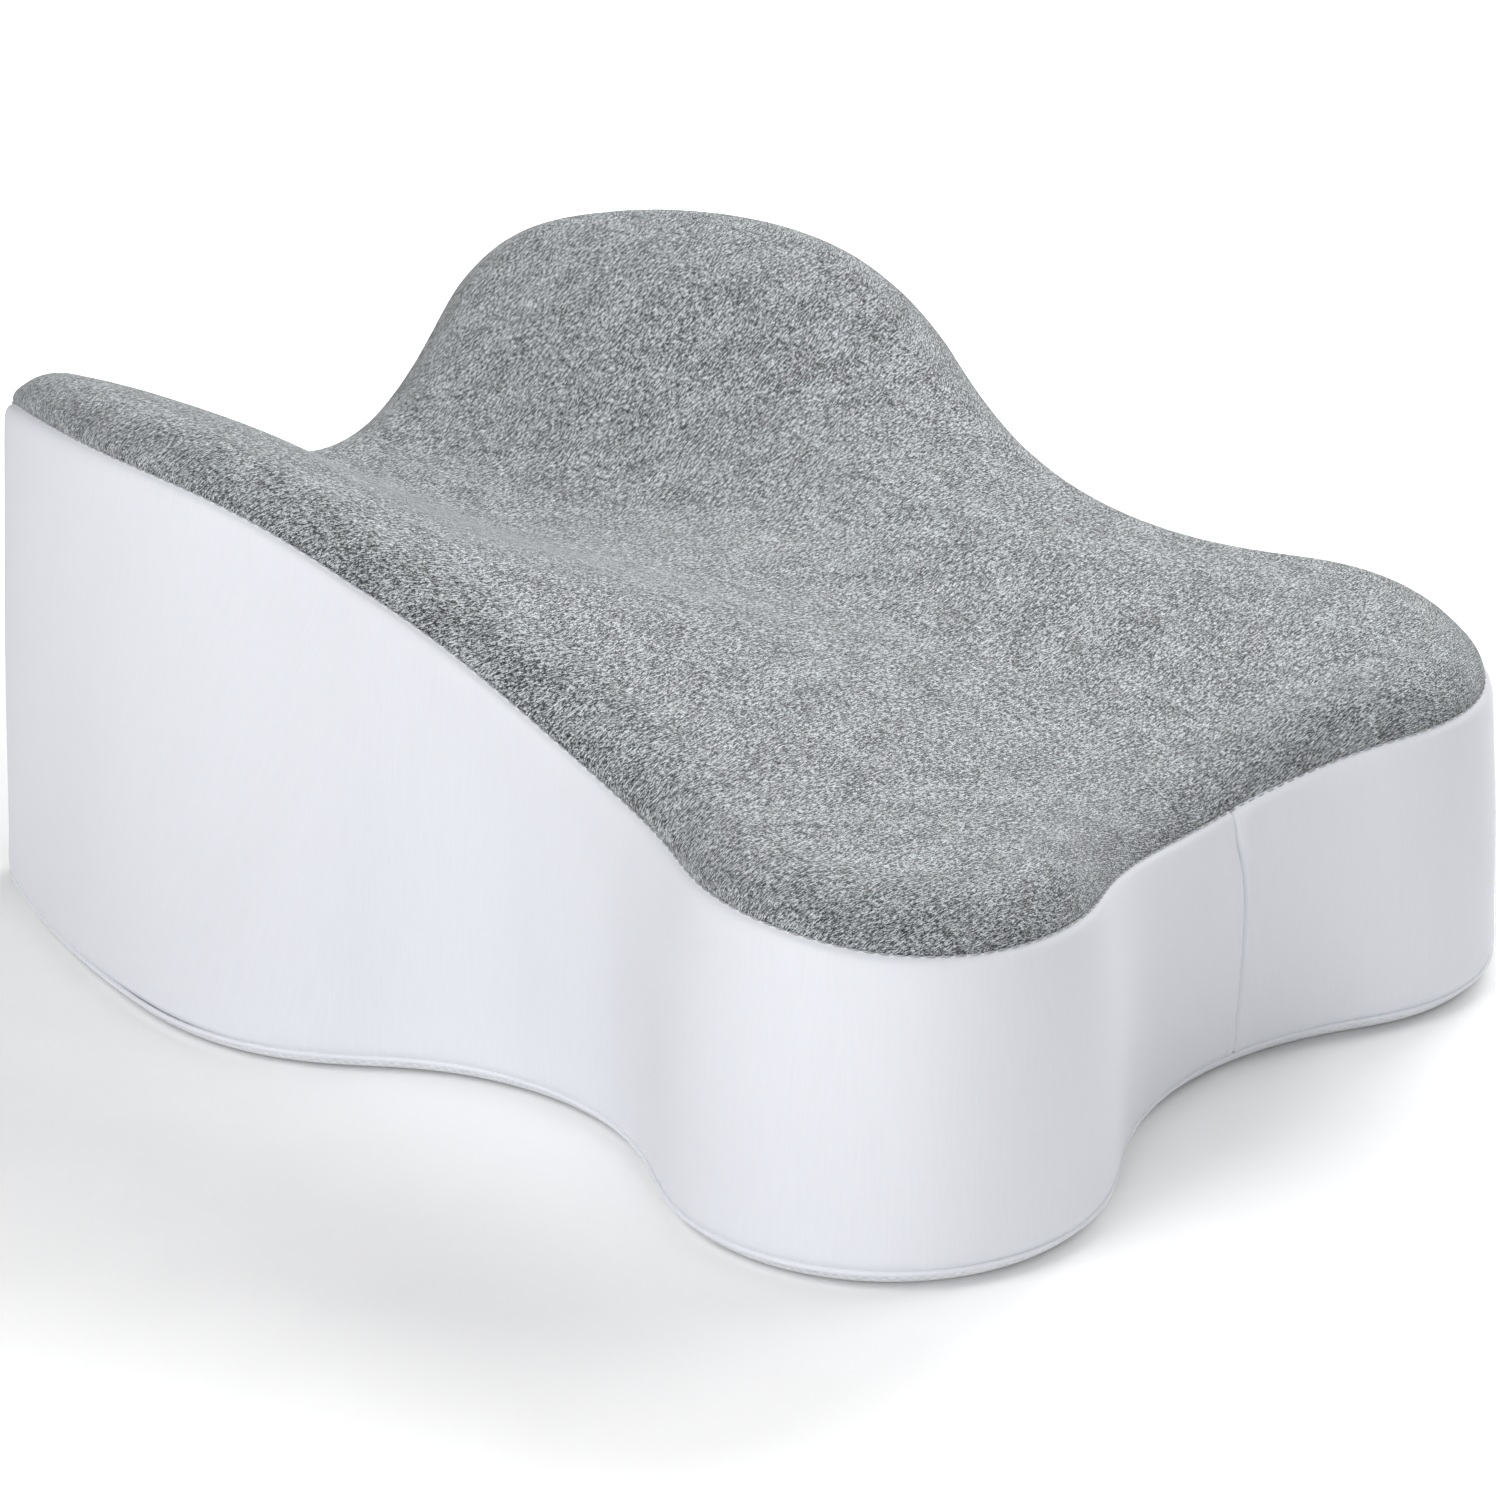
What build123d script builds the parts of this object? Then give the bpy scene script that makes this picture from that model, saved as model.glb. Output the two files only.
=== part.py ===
from build123d import *
from math import pi, sin, sqrt
import os

# Contoured cervical traction pillow: moulded foam in a sewn liner, inside a zipped knit cover.
# Millimetres, +Z up, +Y towards the head end, +X right. The origin is the bottom centre of the
# bounding box, on the face that rests on the bed. "Inset" counts inward from the outside surface.

# Plan outline of the right half, arc by arc: centre X, centre Y, radius
FRONT_LOBE = (73, -106, 45)
WING = (49, 45, 70)
REAR_LOBE = (70, 123, 28)
FRONT_NOTCH_R = 85  # hollow for the shoulders, between the two front lobes
WAIST_R = 62  # hollow between front lobe and wing
WING_SIDE_R = 200  # nearly straight run from the wing to the rear lobe
REAR_NOTCH_R = 110  # hollow at the head end, between the two wings

# Top surface before its edge is rounded: station Y, valley floor, wing crest, flank fullness
STATIONS = (
    (-190, 58, 68, 5),
    (-155, 62, 70, 5),
    (-112, 67, 76, 1),
    (-72, 76, 79, 4),
    (-37, 82, 85, 6),
    (-2, 84, 103, 3),
    (38, 81, 122, -1),
    (88, 83, 128, 1),
    (153, 88, 127, -2),
    (190, 90, 126, -2),
)
CREST_X = 112  # distance of each crest line from the middle
PATCH_X = 140  # half width of the surface patch
PATCH_COLUMNS = 20
PATCH_ROWS = 24
ROUGH_HEIGHT = 200

TOP_R = 16
BOTTOM_R = 6.5
SEAM_DROP = 9.5  # the grey top ends this far below the unrounded top

# Layers
COVER_T = 1.4
LINER_IN = 1.9
LINER_T = 0.6
FOAM_IN = 3.0
LINER_SEAM_Z = 14
SEAM_GAP = 1.2  # between two panel edges, where their thread runs
THREAD_R = 0.3
PIPING_R = 0.9
PIPING_Z = 3.6
PIPING_IN = 1.0
PIPING_GAP = 2.6
BASE_RISE = 0.1  # the base halves are cut off this far above the trough's lining

# Zip across the underside, along X, in a shallow trough that keeps it off the bed
ZIP_Y = 30
TROUGH_X = 101  # half length
TROUGH_TOP = 13  # half width of the trough's roof
TROUGH_FOOT = 22  # half width at the bed
COVER_TROUGH_Z = 3.4
LINER_TROUGH_Z = 7.4
LINER_TROUGH_TOP = 15
SLOT_X = 88
SLOT_Y = 7

TAPE = (190, 12, 0.5)
TAPE_Z = 5.3
ROW_GAP = 1.0  # clear line between the two coil rows, where the slider's post runs
COIL_Z = 3.7
COIL_H = 1.4
TOOTH_L = 2.4
TOOTH_T = 0.8
TOOTH_PITCH = 2
TOOTH_COUNT = 82
CORD_W = 0.6
STOP_T = 2.5
STOP_X = 84.5
STOP_CHAMFER = 0.3

SLIDER_X = 78  # the slider stands here when the zip is closed
SLIDER_L = 9
SLIDER_W = 9.4
CORNER_R = 2  # plan corners of the slider's plates and of the pull
PLATE_T = 0.8
OUTER_PLATE_Z = 2.4
INNER_PLATE_Z = 6.1
FLANGE_T = 0.8
FLANGE_CLEAR = 0.3  # between the flanges and the tapes
POST = (2.4, 0.5)
ARCH_L = 6
ARCH_W = 2.4
ARCH_T = 0.6
ARCH_Z = 0.4
ARCH_CORNER_R = 0.48

PULL_Z = 1.6  # height of the pull's hinge line
PULL_L = 19
PULL_W = 5.6
PULL_T = 0.9
PULL_BAR_R = 0.5
PULL_BAR_IN = 0.8  # the bar stops this far inside the pull's sides
PULL_EYE = (5, 3.2)
PULL_HOLE_R = 1.2
PULL_HOLE_IN = 3.5  # from the pull's free end

STITCH = (2.2, 0.5, 0.4)
STITCH_PITCH = 3
STITCH_COUNT = 56
STITCH_Y = 9
STITCH_Z = 2.9
END_SEAM_CLEAR = 1
ON_AXIS = 0.001  # a point this near the middle plane lies on it


def meeting_point(first, first_reach, second, second_reach, side):
    """Point at the given distances from two points, right (+1) or left (-1) of first to second."""
    gap = second - first
    along = gap.normalized()
    across = Vector(along.Y, -along.X)
    run = (first_reach**2 - second_reach**2 + gap.length**2) / (2 * gap.length)
    return first + along * run + across * side * sqrt(first_reach**2 - run**2)


def outline_arcs(inset):
    """Centre, radius and bulge (+1 out, -1 in) of each arc, from front notch to rear notch."""
    lobe, wing, rear = (Vector(x, y) for x, y, radius in (FRONT_LOBE, WING, REAR_LOBE))
    lobe_r, wing_r, rear_r = FRONT_LOBE[2], WING[2], REAR_LOBE[2]
    front_notch = Vector(0, lobe.Y - sqrt((FRONT_NOTCH_R + lobe_r) ** 2 - lobe.X**2))
    rear_notch = Vector(0, rear.Y + sqrt((REAR_NOTCH_R + rear_r) ** 2 - rear.X**2))
    waist = meeting_point(lobe, lobe_r + WAIST_R, wing, wing_r + WAIST_R, 1)
    side = meeting_point(wing, WING_SIDE_R - wing_r, rear, WING_SIDE_R - rear_r, -1)
    arcs = (
        (front_notch, FRONT_NOTCH_R, -1),
        (lobe, lobe_r, 1),
        (waist, WAIST_R, -1),
        (wing, wing_r, 1),
        (side, WING_SIDE_R, 1),
        (rear, rear_r, 1),
        (rear_notch, REAR_NOTCH_R, -1),
    )
    return [(centre, radius - bulge * inset, bulge) for centre, radius, bulge in arcs]


def touching_point(first, second):
    """Where two neighbouring arcs meet, each given as centre, radius and bulge."""
    along = (second[0] - first[0]).normalized()
    if first[2] != second[2]:
        return first[0] + along * first[1]
    if first[1] > second[1]:
        return second[0] + along * second[1]
    return first[0] - along * first[1]


def outline(inset):
    """Closed plan outline, both halves."""
    arcs = outline_arcs(inset)
    joints = [touching_point(first, second) for first, second in zip(arcs, arcs[1:])]
    start = Vector(0, arcs[0][0].Y + arcs[0][1])
    end = Vector(0, arcs[-1][0].Y - arcs[-1][1])
    with BuildLine() as line:
        for (centre, radius, bulge), begin, finish in zip(arcs, [start] + joints, joints + [end]):
            middle = (begin + finish) / 2 - centre
            turn = (begin - centre).cross(finish - centre).Z * bulge
            reach = radius if turn > 0 else -radius
            ThreePointArc(begin, centre + middle.normalized() * reach, finish)
        mirror(about=Plane.YZ)
    return line.line


def station_height(station, x):
    """Height of the unrounded top at one station, x from the middle."""
    valley, crest, flank = station[1:]
    across = min(abs(x) / CREST_X, 1)
    return valley + (crest - valley) * sin(pi / 2 * across) ** 2 + flank * sin(pi * across) ** 2


def top_line(x, drop):
    """The unrounded top's line from front to rear at one x, lowered by drop."""
    return Edge.make_spline(
        [Vector(x, station[0], station_height(station, x) - drop) for station in STATIONS]
    )


def top_surface(drop):
    """Smooth patch through the top lines, lowered by drop; its upper side is the outside."""
    columns = []
    for step in range(PATCH_COLUMNS + 1):
        line = top_line(PATCH_X * (2 * step / PATCH_COLUMNS - 1), drop)
        columns.append([line @ (row / PATCH_ROWS) for row in range(PATCH_ROWS + 1)])
    return Face.make_surface_from_array_of_points(columns, tol=0.1)


def cushion(inset, trough_top=0, trough_z=0):
    """The whole pillow shrunk by inset, with the zip trough's roof at trough_z."""
    with BuildPart() as body:
        with BuildSketch(Plane.XY.offset(inset)):
            with BuildLine():
                add(outline(inset))
            make_face()
        extrude(amount=ROUGH_HEIGHT)
        split(bisect_by=top_surface(inset), keep=Keep.BOTTOM)
        fillet(body.faces().sort_by(Axis.Z)[-1].edges(), radius=TOP_R - inset)
        fillet(body.faces().sort_by(Axis.Z)[0].edges(), radius=BOTTOM_R - inset)
        if trough_z:
            trough_foot = trough_top + TROUGH_FOOT - TROUGH_TOP
            with BuildSketch(Plane.YZ):
                with BuildLine():
                    Polyline(
                        (ZIP_Y - trough_foot, inset),
                        (ZIP_Y - trough_top, trough_z),
                        (ZIP_Y + trough_top, trough_z),
                        (ZIP_Y + trough_foot, inset),
                        close=True,
                    )
                make_face()
            extrude(amount=TROUGH_X + inset, both=True, mode=Mode.SUBTRACT)
    return body.part


# The skins that the layers are cut from
cover_inside = cushion(COVER_T, TROUGH_TOP, COVER_TROUGH_Z + COVER_T)
liner_inside = cushion(LINER_IN + LINER_T, LINER_TROUGH_TOP, LINER_TROUGH_Z + LINER_T)

with BuildPart() as cover:
    add(cushion(0, TROUGH_TOP, COVER_TROUGH_Z))
    add(cover_inside, mode=Mode.SUBTRACT)

with BuildPart() as liner:
    add(cushion(LINER_IN, LINER_TROUGH_TOP, LINER_TROUGH_Z))
    add(liner_inside, mode=Mode.SUBTRACT)

# Foam
with BuildPart() as foam_core:
    add(cushion(FOAM_IN, LINER_TROUGH_TOP, LINER_TROUGH_Z + FOAM_IN - LINER_IN))

# Liner, sewn shut round the foam
with BuildPart() as liner_upper:
    add(liner.part)
    split(bisect_by=Plane.XY.offset(LINER_SEAM_Z + SEAM_GAP / 2), keep=Keep.TOP)

with BuildPart() as liner_base:
    add(liner.part)
    split(bisect_by=Plane.XY.offset(LINER_SEAM_Z - SEAM_GAP / 2), keep=Keep.BOTTOM)


def edge_cord(inset, height, radius):
    """Cord that runs once round the pillow at one height."""
    with BuildPart() as cord:
        with BuildLine(Plane.XY.offset(height)) as path:
            add(outline(inset).moved(Location((0, 0, height))))
        front = min(path.vertices(), key=lambda vertex: abs(vertex.X) + vertex.Y)
        with BuildSketch(Plane(origin=(0, front.Y, height), z_dir=(1, 0, 0))):
            Circle(radius)
        sweep(path=path.wires()[0])
    return cord.part


with BuildPart() as liner_seam:
    add(edge_cord(LINER_IN + LINER_T / 2, LINER_SEAM_Z, THREAD_R))

# Cover: grey top, two white sides, two base halves
with BuildPart() as top_panel:
    add(cover.part)
    split(bisect_by=top_surface(SEAM_DROP - SEAM_GAP / 2), keep=Keep.TOP)

with BuildPart() as sides:
    add(cover.part)
    split(bisect_by=top_surface(SEAM_DROP + SEAM_GAP / 2), keep=Keep.BOTTOM)
    split(bisect_by=Plane.XY.offset(PIPING_Z + PIPING_GAP / 2), keep=Keep.TOP)

with BuildPart() as side_panel_left:
    add(sides.part)
    split(bisect_by=Plane.YZ.offset(-SEAM_GAP / 2), keep=Keep.BOTTOM)

with BuildPart() as side_panel_right:
    add(sides.part)
    split(bisect_by=Plane.YZ.offset(SEAM_GAP / 2), keep=Keep.TOP)

with BuildPart() as base:
    add(cover.part)
    split(bisect_by=Plane.XY.offset(COVER_TROUGH_Z + COVER_T + BASE_RISE), keep=Keep.BOTTOM)
    with BuildSketch(Plane.XY.offset(PIPING_Z - PIPING_GAP / 2)):
        with BuildLine():
            add(outline(-PIPING_IN))
        make_face()
        with BuildLine():
            add(outline(BOTTOM_R + COVER_T))
        make_face(mode=Mode.SUBTRACT)
    extrude(amount=BOTTOM_R, mode=Mode.SUBTRACT)
    with Locations((0, ZIP_Y, 0)):
        Box(2 * SLOT_X, 2 * SLOT_Y, 2 * BOTTOM_R, mode=Mode.SUBTRACT)

with BuildPart() as base_panel_front:
    add(base.part)
    split(bisect_by=Plane.XZ.offset(-ZIP_Y + SEAM_GAP / 2), keep=Keep.TOP)

with BuildPart() as base_panel_rear:
    add(base.part)
    split(bisect_by=Plane.XZ.offset(-ZIP_Y - SEAM_GAP / 2), keep=Keep.BOTTOM)

# Seams
with BuildPart() as top_seam_thread:
    add(cushion(COVER_T / 2 - THREAD_R))
    add(cushion(COVER_T / 2 + THREAD_R), mode=Mode.SUBTRACT)
    split(bisect_by=top_surface(SEAM_DROP - THREAD_R), keep=Keep.BOTTOM)
    split(bisect_by=top_surface(SEAM_DROP + THREAD_R), keep=Keep.TOP)

with BuildPart() as base_piping:
    add(edge_cord(PIPING_IN, PIPING_Z, PIPING_R))


def upright_thread(notch_y, towards_middle):
    """Thread of an upright seam, from the base rounding to the start of the top rounding."""
    wall = Plane.XZ.offset(-notch_y)
    top = top_line(0, SEAM_DROP).intersect(wall)[0].Z - TOP_R / 2
    with BuildPart() as thread:
        with BuildSketch(Plane.XY.offset(BOTTOM_R)):
            with Locations((0, notch_y + towards_middle * COVER_T / 2)):
                Circle(THREAD_R)
        extrude(amount=top - BOTTOM_R)
    return thread.part


notches = outline(0).vertices().filter_by(lambda vertex: abs(vertex.X) < ON_AXIS).sort_by(Axis.Y)

with BuildPart() as front_seam_thread:
    add(upright_thread(notches[0].Y, 1))

with BuildPart() as rear_seam_thread:
    add(upright_thread(notches[-1].Y, -1))

with BuildPart() as base_end_seams:
    roof_z = COVER_TROUGH_Z + COVER_T / 2
    roof_x = (SLOT_X + TROUGH_X) / 2
    bed_x = TROUGH_X + BOTTOM_R
    for x, height, length in ((roof_x, roof_z, TROUGH_X - SLOT_X - END_SEAM_CLEAR), (bed_x, COVER_T / 2, BOTTOM_R)):
        with Locations((x, ZIP_Y, height), (-x, ZIP_Y, height)):
            Cylinder(THREAD_R, length, rotation=(0, 90, 0))


# Zip tapes and coils
def tape(side):
    """One woven tape, on the front (-1) or rear (+1) side of the zip."""
    length, width, thickness = TAPE
    with BuildPart() as strip:
        with Locations((0, ZIP_Y + side * (ROW_GAP + width) / 2, TAPE_Z)):
            Box(length, width, thickness, align=(Align.CENTER, Align.CENTER, Align.MIN))
    return strip.part


def coil(side):
    """One row of coil teeth on its cord."""
    tooth_y = ZIP_Y + side * (ROW_GAP + TOOTH_L) / 2
    cord_y = ZIP_Y + side * (ROW_GAP / 2 + TOOTH_L)
    with BuildPart() as row:
        with Locations((side * TOOTH_PITCH / 4, tooth_y, COIL_Z)):
            with GridLocations(TOOTH_PITCH, 1, TOOTH_COUNT, 1):
                Box(TOOTH_T, TOOTH_L, COIL_H, align=(Align.CENTER, Align.CENTER, Align.MIN))
        with Locations((side * TOOTH_PITCH / 4, cord_y, COIL_Z + COIL_H)):
            Box(
                (TOOTH_COUNT - 1) * TOOTH_PITCH + TOOTH_T,
                CORD_W,
                COIL_H / 2,
                align=(Align.CENTER, Align.CENTER, Align.MAX),
            )
    return row.part


with BuildPart() as zip_tape_front:
    add(tape(-1))

with BuildPart() as zip_tape_rear:
    add(tape(1))

with BuildPart() as zip_coil_front:
    add(coil(-1))

with BuildPart() as zip_coil_rear:
    add(coil(1))

# Stops that keep the slider on the coil
with BuildPart() as zip_top_stops:
    with Locations((STOP_X, ZIP_Y, COIL_Z)):
        with GridLocations(1, ROW_GAP + TOOTH_L, 1, 2):
            Box(STOP_T, TOOTH_L, COIL_H, align=(Align.CENTER, Align.CENTER, Align.MIN))
    chamfer(zip_top_stops.faces().group_by(Axis.Z)[0].edges(), length=STOP_CHAMFER)

with BuildPart() as zip_bottom_stop:
    with Locations((-STOP_X, ZIP_Y, COIL_Z)):
        Box(
            STOP_T,
            ROW_GAP + 2 * TOOTH_L,
            COIL_H,
            align=(Align.CENTER, Align.CENTER, Align.MIN),
        )
    chamfer(zip_bottom_stop.faces().sort_by(Axis.Z)[0].edges(), length=STOP_CHAMFER)

# Slider: two plates held apart by a post, side flanges round the coil, an arch for the pull
with BuildPart() as zip_slider:
    for height in (OUTER_PLATE_Z, INNER_PLATE_Z):
        with BuildSketch(Plane.XY.offset(height)):
            with Locations((SLIDER_X, ZIP_Y)):
                RectangleRounded(SLIDER_L, SLIDER_W, CORNER_R)
        extrude(amount=PLATE_T)
    flange_y = (SLIDER_W - FLANGE_T) / 2
    flange_z = OUTER_PLATE_Z + PLATE_T
    with Locations((SLIDER_X, ZIP_Y, flange_z)):
        with GridLocations(1, 2 * flange_y, 1, 2):
            Box(
                SLIDER_L - 2 * CORNER_R,
                FLANGE_T,
                TAPE_Z - FLANGE_CLEAR - flange_z,
                align=(Align.CENTER, Align.CENTER, Align.MIN),
            )
    with Locations((SLIDER_X + SLIDER_L / 2 - POST[0], ZIP_Y, flange_z)):
        Box(*POST, INNER_PLATE_Z - flange_z, align=(Align.CENTER, Align.CENTER, Align.MIN))
    with BuildSketch(Plane.XZ.offset(-ZIP_Y)):
        with Locations((SLIDER_X, ARCH_Z)):
            Rectangle(ARCH_L, OUTER_PLATE_Z - ARCH_Z, align=(Align.CENTER, Align.MIN))
        with Locations((SLIDER_X, ARCH_Z + ARCH_T)):
            Rectangle(
                ARCH_L - 2 * ARCH_T,
                OUTER_PLATE_Z - ARCH_Z - ARCH_T,
                align=(Align.CENTER, Align.MIN),
                mode=Mode.SUBTRACT,
            )
    extrude(amount=ARCH_W / 2, both=True)
    fillet(zip_slider.edges().filter_by(Axis.Y).group_by(Axis.Z)[0], radius=ARCH_CORNER_R)

# Pull: flat tab whose open eye is bridged by a round bar inside the slider's arch
with BuildPart() as zip_pull:
    with BuildSketch(Plane.XY.offset(PULL_Z - PULL_T / 2)):
        with Locations((SLIDER_X + PULL_BAR_R, ZIP_Y)):
            RectangleRounded(PULL_L, PULL_W, CORNER_R, align=(Align.MAX, Align.CENTER))
            Rectangle(*PULL_EYE, align=(Align.MAX, Align.CENTER), mode=Mode.SUBTRACT)
        with Locations((SLIDER_X + PULL_BAR_R - PULL_L + PULL_HOLE_IN, ZIP_Y)):
            Circle(PULL_HOLE_R, mode=Mode.SUBTRACT)
    extrude(amount=PULL_T)
    with BuildSketch(Plane.XZ.offset(-ZIP_Y)):
        with Locations((SLIDER_X, PULL_Z)):
            Circle(PULL_BAR_R)
    extrude(amount=PULL_W / 2 - PULL_BAR_IN, both=True)

with BuildPart() as zip_stitching:
    with Locations((0, ZIP_Y, STITCH_Z)):
        with GridLocations(STITCH_PITCH, 2 * STITCH_Y, STITCH_COUNT, 2):
            Box(*STITCH, align=(Align.CENTER, Align.CENTER, Align.MIN))

parts = {
    "foam_core": foam_core,
    "liner_upper": liner_upper,
    "liner_base": liner_base,
    "liner_seam": liner_seam,
    "top_panel": top_panel,
    "side_panel_left": side_panel_left,
    "side_panel_right": side_panel_right,
    "base_panel_front": base_panel_front,
    "base_panel_rear": base_panel_rear,
    "top_seam_thread": top_seam_thread,
    "front_seam_thread": front_seam_thread,
    "rear_seam_thread": rear_seam_thread,
    "base_piping": base_piping,
    "base_end_seams": base_end_seams,
    "zip_tape_front": zip_tape_front,
    "zip_tape_rear": zip_tape_rear,
    "zip_coil_front": zip_coil_front,
    "zip_coil_rear": zip_coil_rear,
    "zip_top_stops": zip_top_stops,
    "zip_bottom_stop": zip_bottom_stop,
    "zip_slider": zip_slider,
    "zip_pull": zip_pull,
    "zip_stitching": zip_stitching,
}
os.makedirs("parts", exist_ok=True)
for name, piece in parts.items():
    piece.part.label = name
    export_step(piece.part, f"parts/{name}.step")
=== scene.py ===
"""Visual model of the four-lobed memory-foam pillow: knit cover, liner, foam and the zip under its base.

Every soft piece is a grid of columns, which run round the plan, and rows, which run up its section.
The cover's walls and top also take a share of the swell that a short cloth simulation gives them.
Lengths inside the shape functions are design millimetres. UNIT turns them into metres.
"""
import math

import bpy
import numpy as np
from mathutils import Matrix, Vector
from mathutils.bvhtree import BVHTree


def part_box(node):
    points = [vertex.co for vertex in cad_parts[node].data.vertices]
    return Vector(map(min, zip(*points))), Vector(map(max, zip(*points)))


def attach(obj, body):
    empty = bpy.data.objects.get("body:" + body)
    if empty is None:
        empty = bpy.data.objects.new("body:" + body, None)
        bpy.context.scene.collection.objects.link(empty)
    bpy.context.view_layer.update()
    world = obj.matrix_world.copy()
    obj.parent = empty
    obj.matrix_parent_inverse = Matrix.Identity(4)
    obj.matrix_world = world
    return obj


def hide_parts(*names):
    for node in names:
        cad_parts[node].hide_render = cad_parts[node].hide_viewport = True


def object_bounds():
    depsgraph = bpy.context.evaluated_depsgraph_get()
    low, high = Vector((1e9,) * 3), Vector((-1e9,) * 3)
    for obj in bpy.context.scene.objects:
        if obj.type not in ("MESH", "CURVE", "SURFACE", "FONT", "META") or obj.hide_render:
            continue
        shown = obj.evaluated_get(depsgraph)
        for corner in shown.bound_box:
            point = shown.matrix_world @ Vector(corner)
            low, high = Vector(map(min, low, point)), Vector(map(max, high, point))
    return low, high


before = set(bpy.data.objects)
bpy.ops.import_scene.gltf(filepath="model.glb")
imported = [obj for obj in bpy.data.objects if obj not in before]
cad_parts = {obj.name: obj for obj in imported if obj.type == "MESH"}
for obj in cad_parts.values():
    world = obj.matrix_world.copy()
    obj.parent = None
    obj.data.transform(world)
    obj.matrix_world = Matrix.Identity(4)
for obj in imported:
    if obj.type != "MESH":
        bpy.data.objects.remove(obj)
cad_low, cad_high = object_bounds()

# ---------------------------------------------------------------- dimensions
UNIT = (cad_high.y - cad_low.y) / 302  # the CAD pillow is 302 design millimetres long

# Lobes of the right half: (x, y, radius) of each convex arc, then the radius of each joining arc
SEAM_PLAN = dict(front=(73, -104.5, 44.9), wing=(52.6, 36.6, 58), rear=(70.7, 122, 27.6),
                 front_notch=118, waist=92, wing_side=132, rear_notch=150)
FOOT_PLAN = dict(front=(72, -102.7, 47.2), wing=(58.6, 49.4, 61), rear=(67, 127.6, 25.6),
                 front_notch=84, waist=65, wing_side=280, rear_notch=75)
FRONT_SEAM_SHIFT = 14  # the front seam lies this far to the right of the notch's middle
SEAM_SHIFT_REACH = 60
PLAN_SOFTNESS = 5.0  # the cover rounds off each change of curvature over this length

CREST_X = 112  # distance from the middle at which the wings reach their full height
TOP_R = 16  # rounding between wall and top
SEAM_DROP = 9.5  # the top seam lies this far under the rim
BOTTOM_R = 6.5
PIPING_Z = 3.6
PIPING_R = 0.55
COVER_T = 1.4
LINER_IN = 1.9
FOAM_IN = 3.0
LINER_SEAM_Z = 14.0

ZIP_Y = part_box("zip_tape_front")[1].y / UNIT + 0.5
TROUGH = dict(half_length=101, roof=13, foot=22, depth=3.4)
LINER_TROUGH = dict(half_length=101, roof=15, foot=24, depth=7.4)
SLOT_X = 88
SLOT_Y = 7

LOOP_STEPS = 960  # even steps round a plan while it is softened
COLUMN_STEP = 2.0
SEAM_SPREAD = (0.3, 0.6, 1.0, 1.5, 2.2, 3.2, 4.6)  # distances of the columns beside an upright seam
ROW_SPREAD = (0.0, 0.25, 0.5, 0.8, 1.2, 1.7, 2.4, 3.3, 4.5)  # distances of the rows beside a seam

# Cloth beside a seam: how deep it dives into the seam, how high it rolls up next to it, and how wide
UPRIGHT_DIP = dict(depth=0.8, roll=0.12, width=0.42)
FOOT_DIP = dict(depth=0.2, roll=0.05)
WALL_DIP = dict(depth=0.7, roll=0.22)
TOP_DIP = dict(depth=0.7, roll=0.3)

GATHER_PULL = 5.0  # sideways draw of the front seam at its top
GATHER_DEPTH = 8.0  # how far down it fades
GATHER_WIDTH = 16
PUCKERS = ((0.9, 2.6, 1.8), (-0.35, -3.5, 3.0))  # height, place and width of the folds beside that end
PUCKER_DEPTH = 14
WALL_CROWN = 0.3
CROWN_EASE = 14  # the crown grows over this distance from an upright seam
RIM_STRETCH, RIM_SLANT = 1.35, 0.6  # how the top's weave runs down over the rim

# Sewn threads, as length and radius of a stitch
TOP_STITCH = dict(length=2.3, radius=0.22)
UPRIGHT_STITCH = dict(length=2.3, radius=0.2)
END_STITCH = dict(length=2.3, radius=0.28)
ZIP_STITCH = dict(length=2.2, radius=0.26)
LINER_STITCH = dict(length=3.2, radius=0.25)
STITCH_PITCH, LINER_PITCH = 3.0, 4.0


# ---------------------------------------------------------------- plan
def bell(distance, width):
    return np.exp(-((distance / width) ** 2))


def meeting_point(p, p_radius, q, q_radius, side):
    """Point at the given distances from p and q, to the right of the line p-q if side is 1."""
    gap = q - p
    length = np.hypot(*gap)
    along = (p_radius**2 - q_radius**2 + length**2) / (2 * length)
    off = math.sqrt(p_radius**2 - along**2)
    direction = gap / length
    return p + direction * along + np.array([direction[1], -direction[0]]) * off * side


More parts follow.
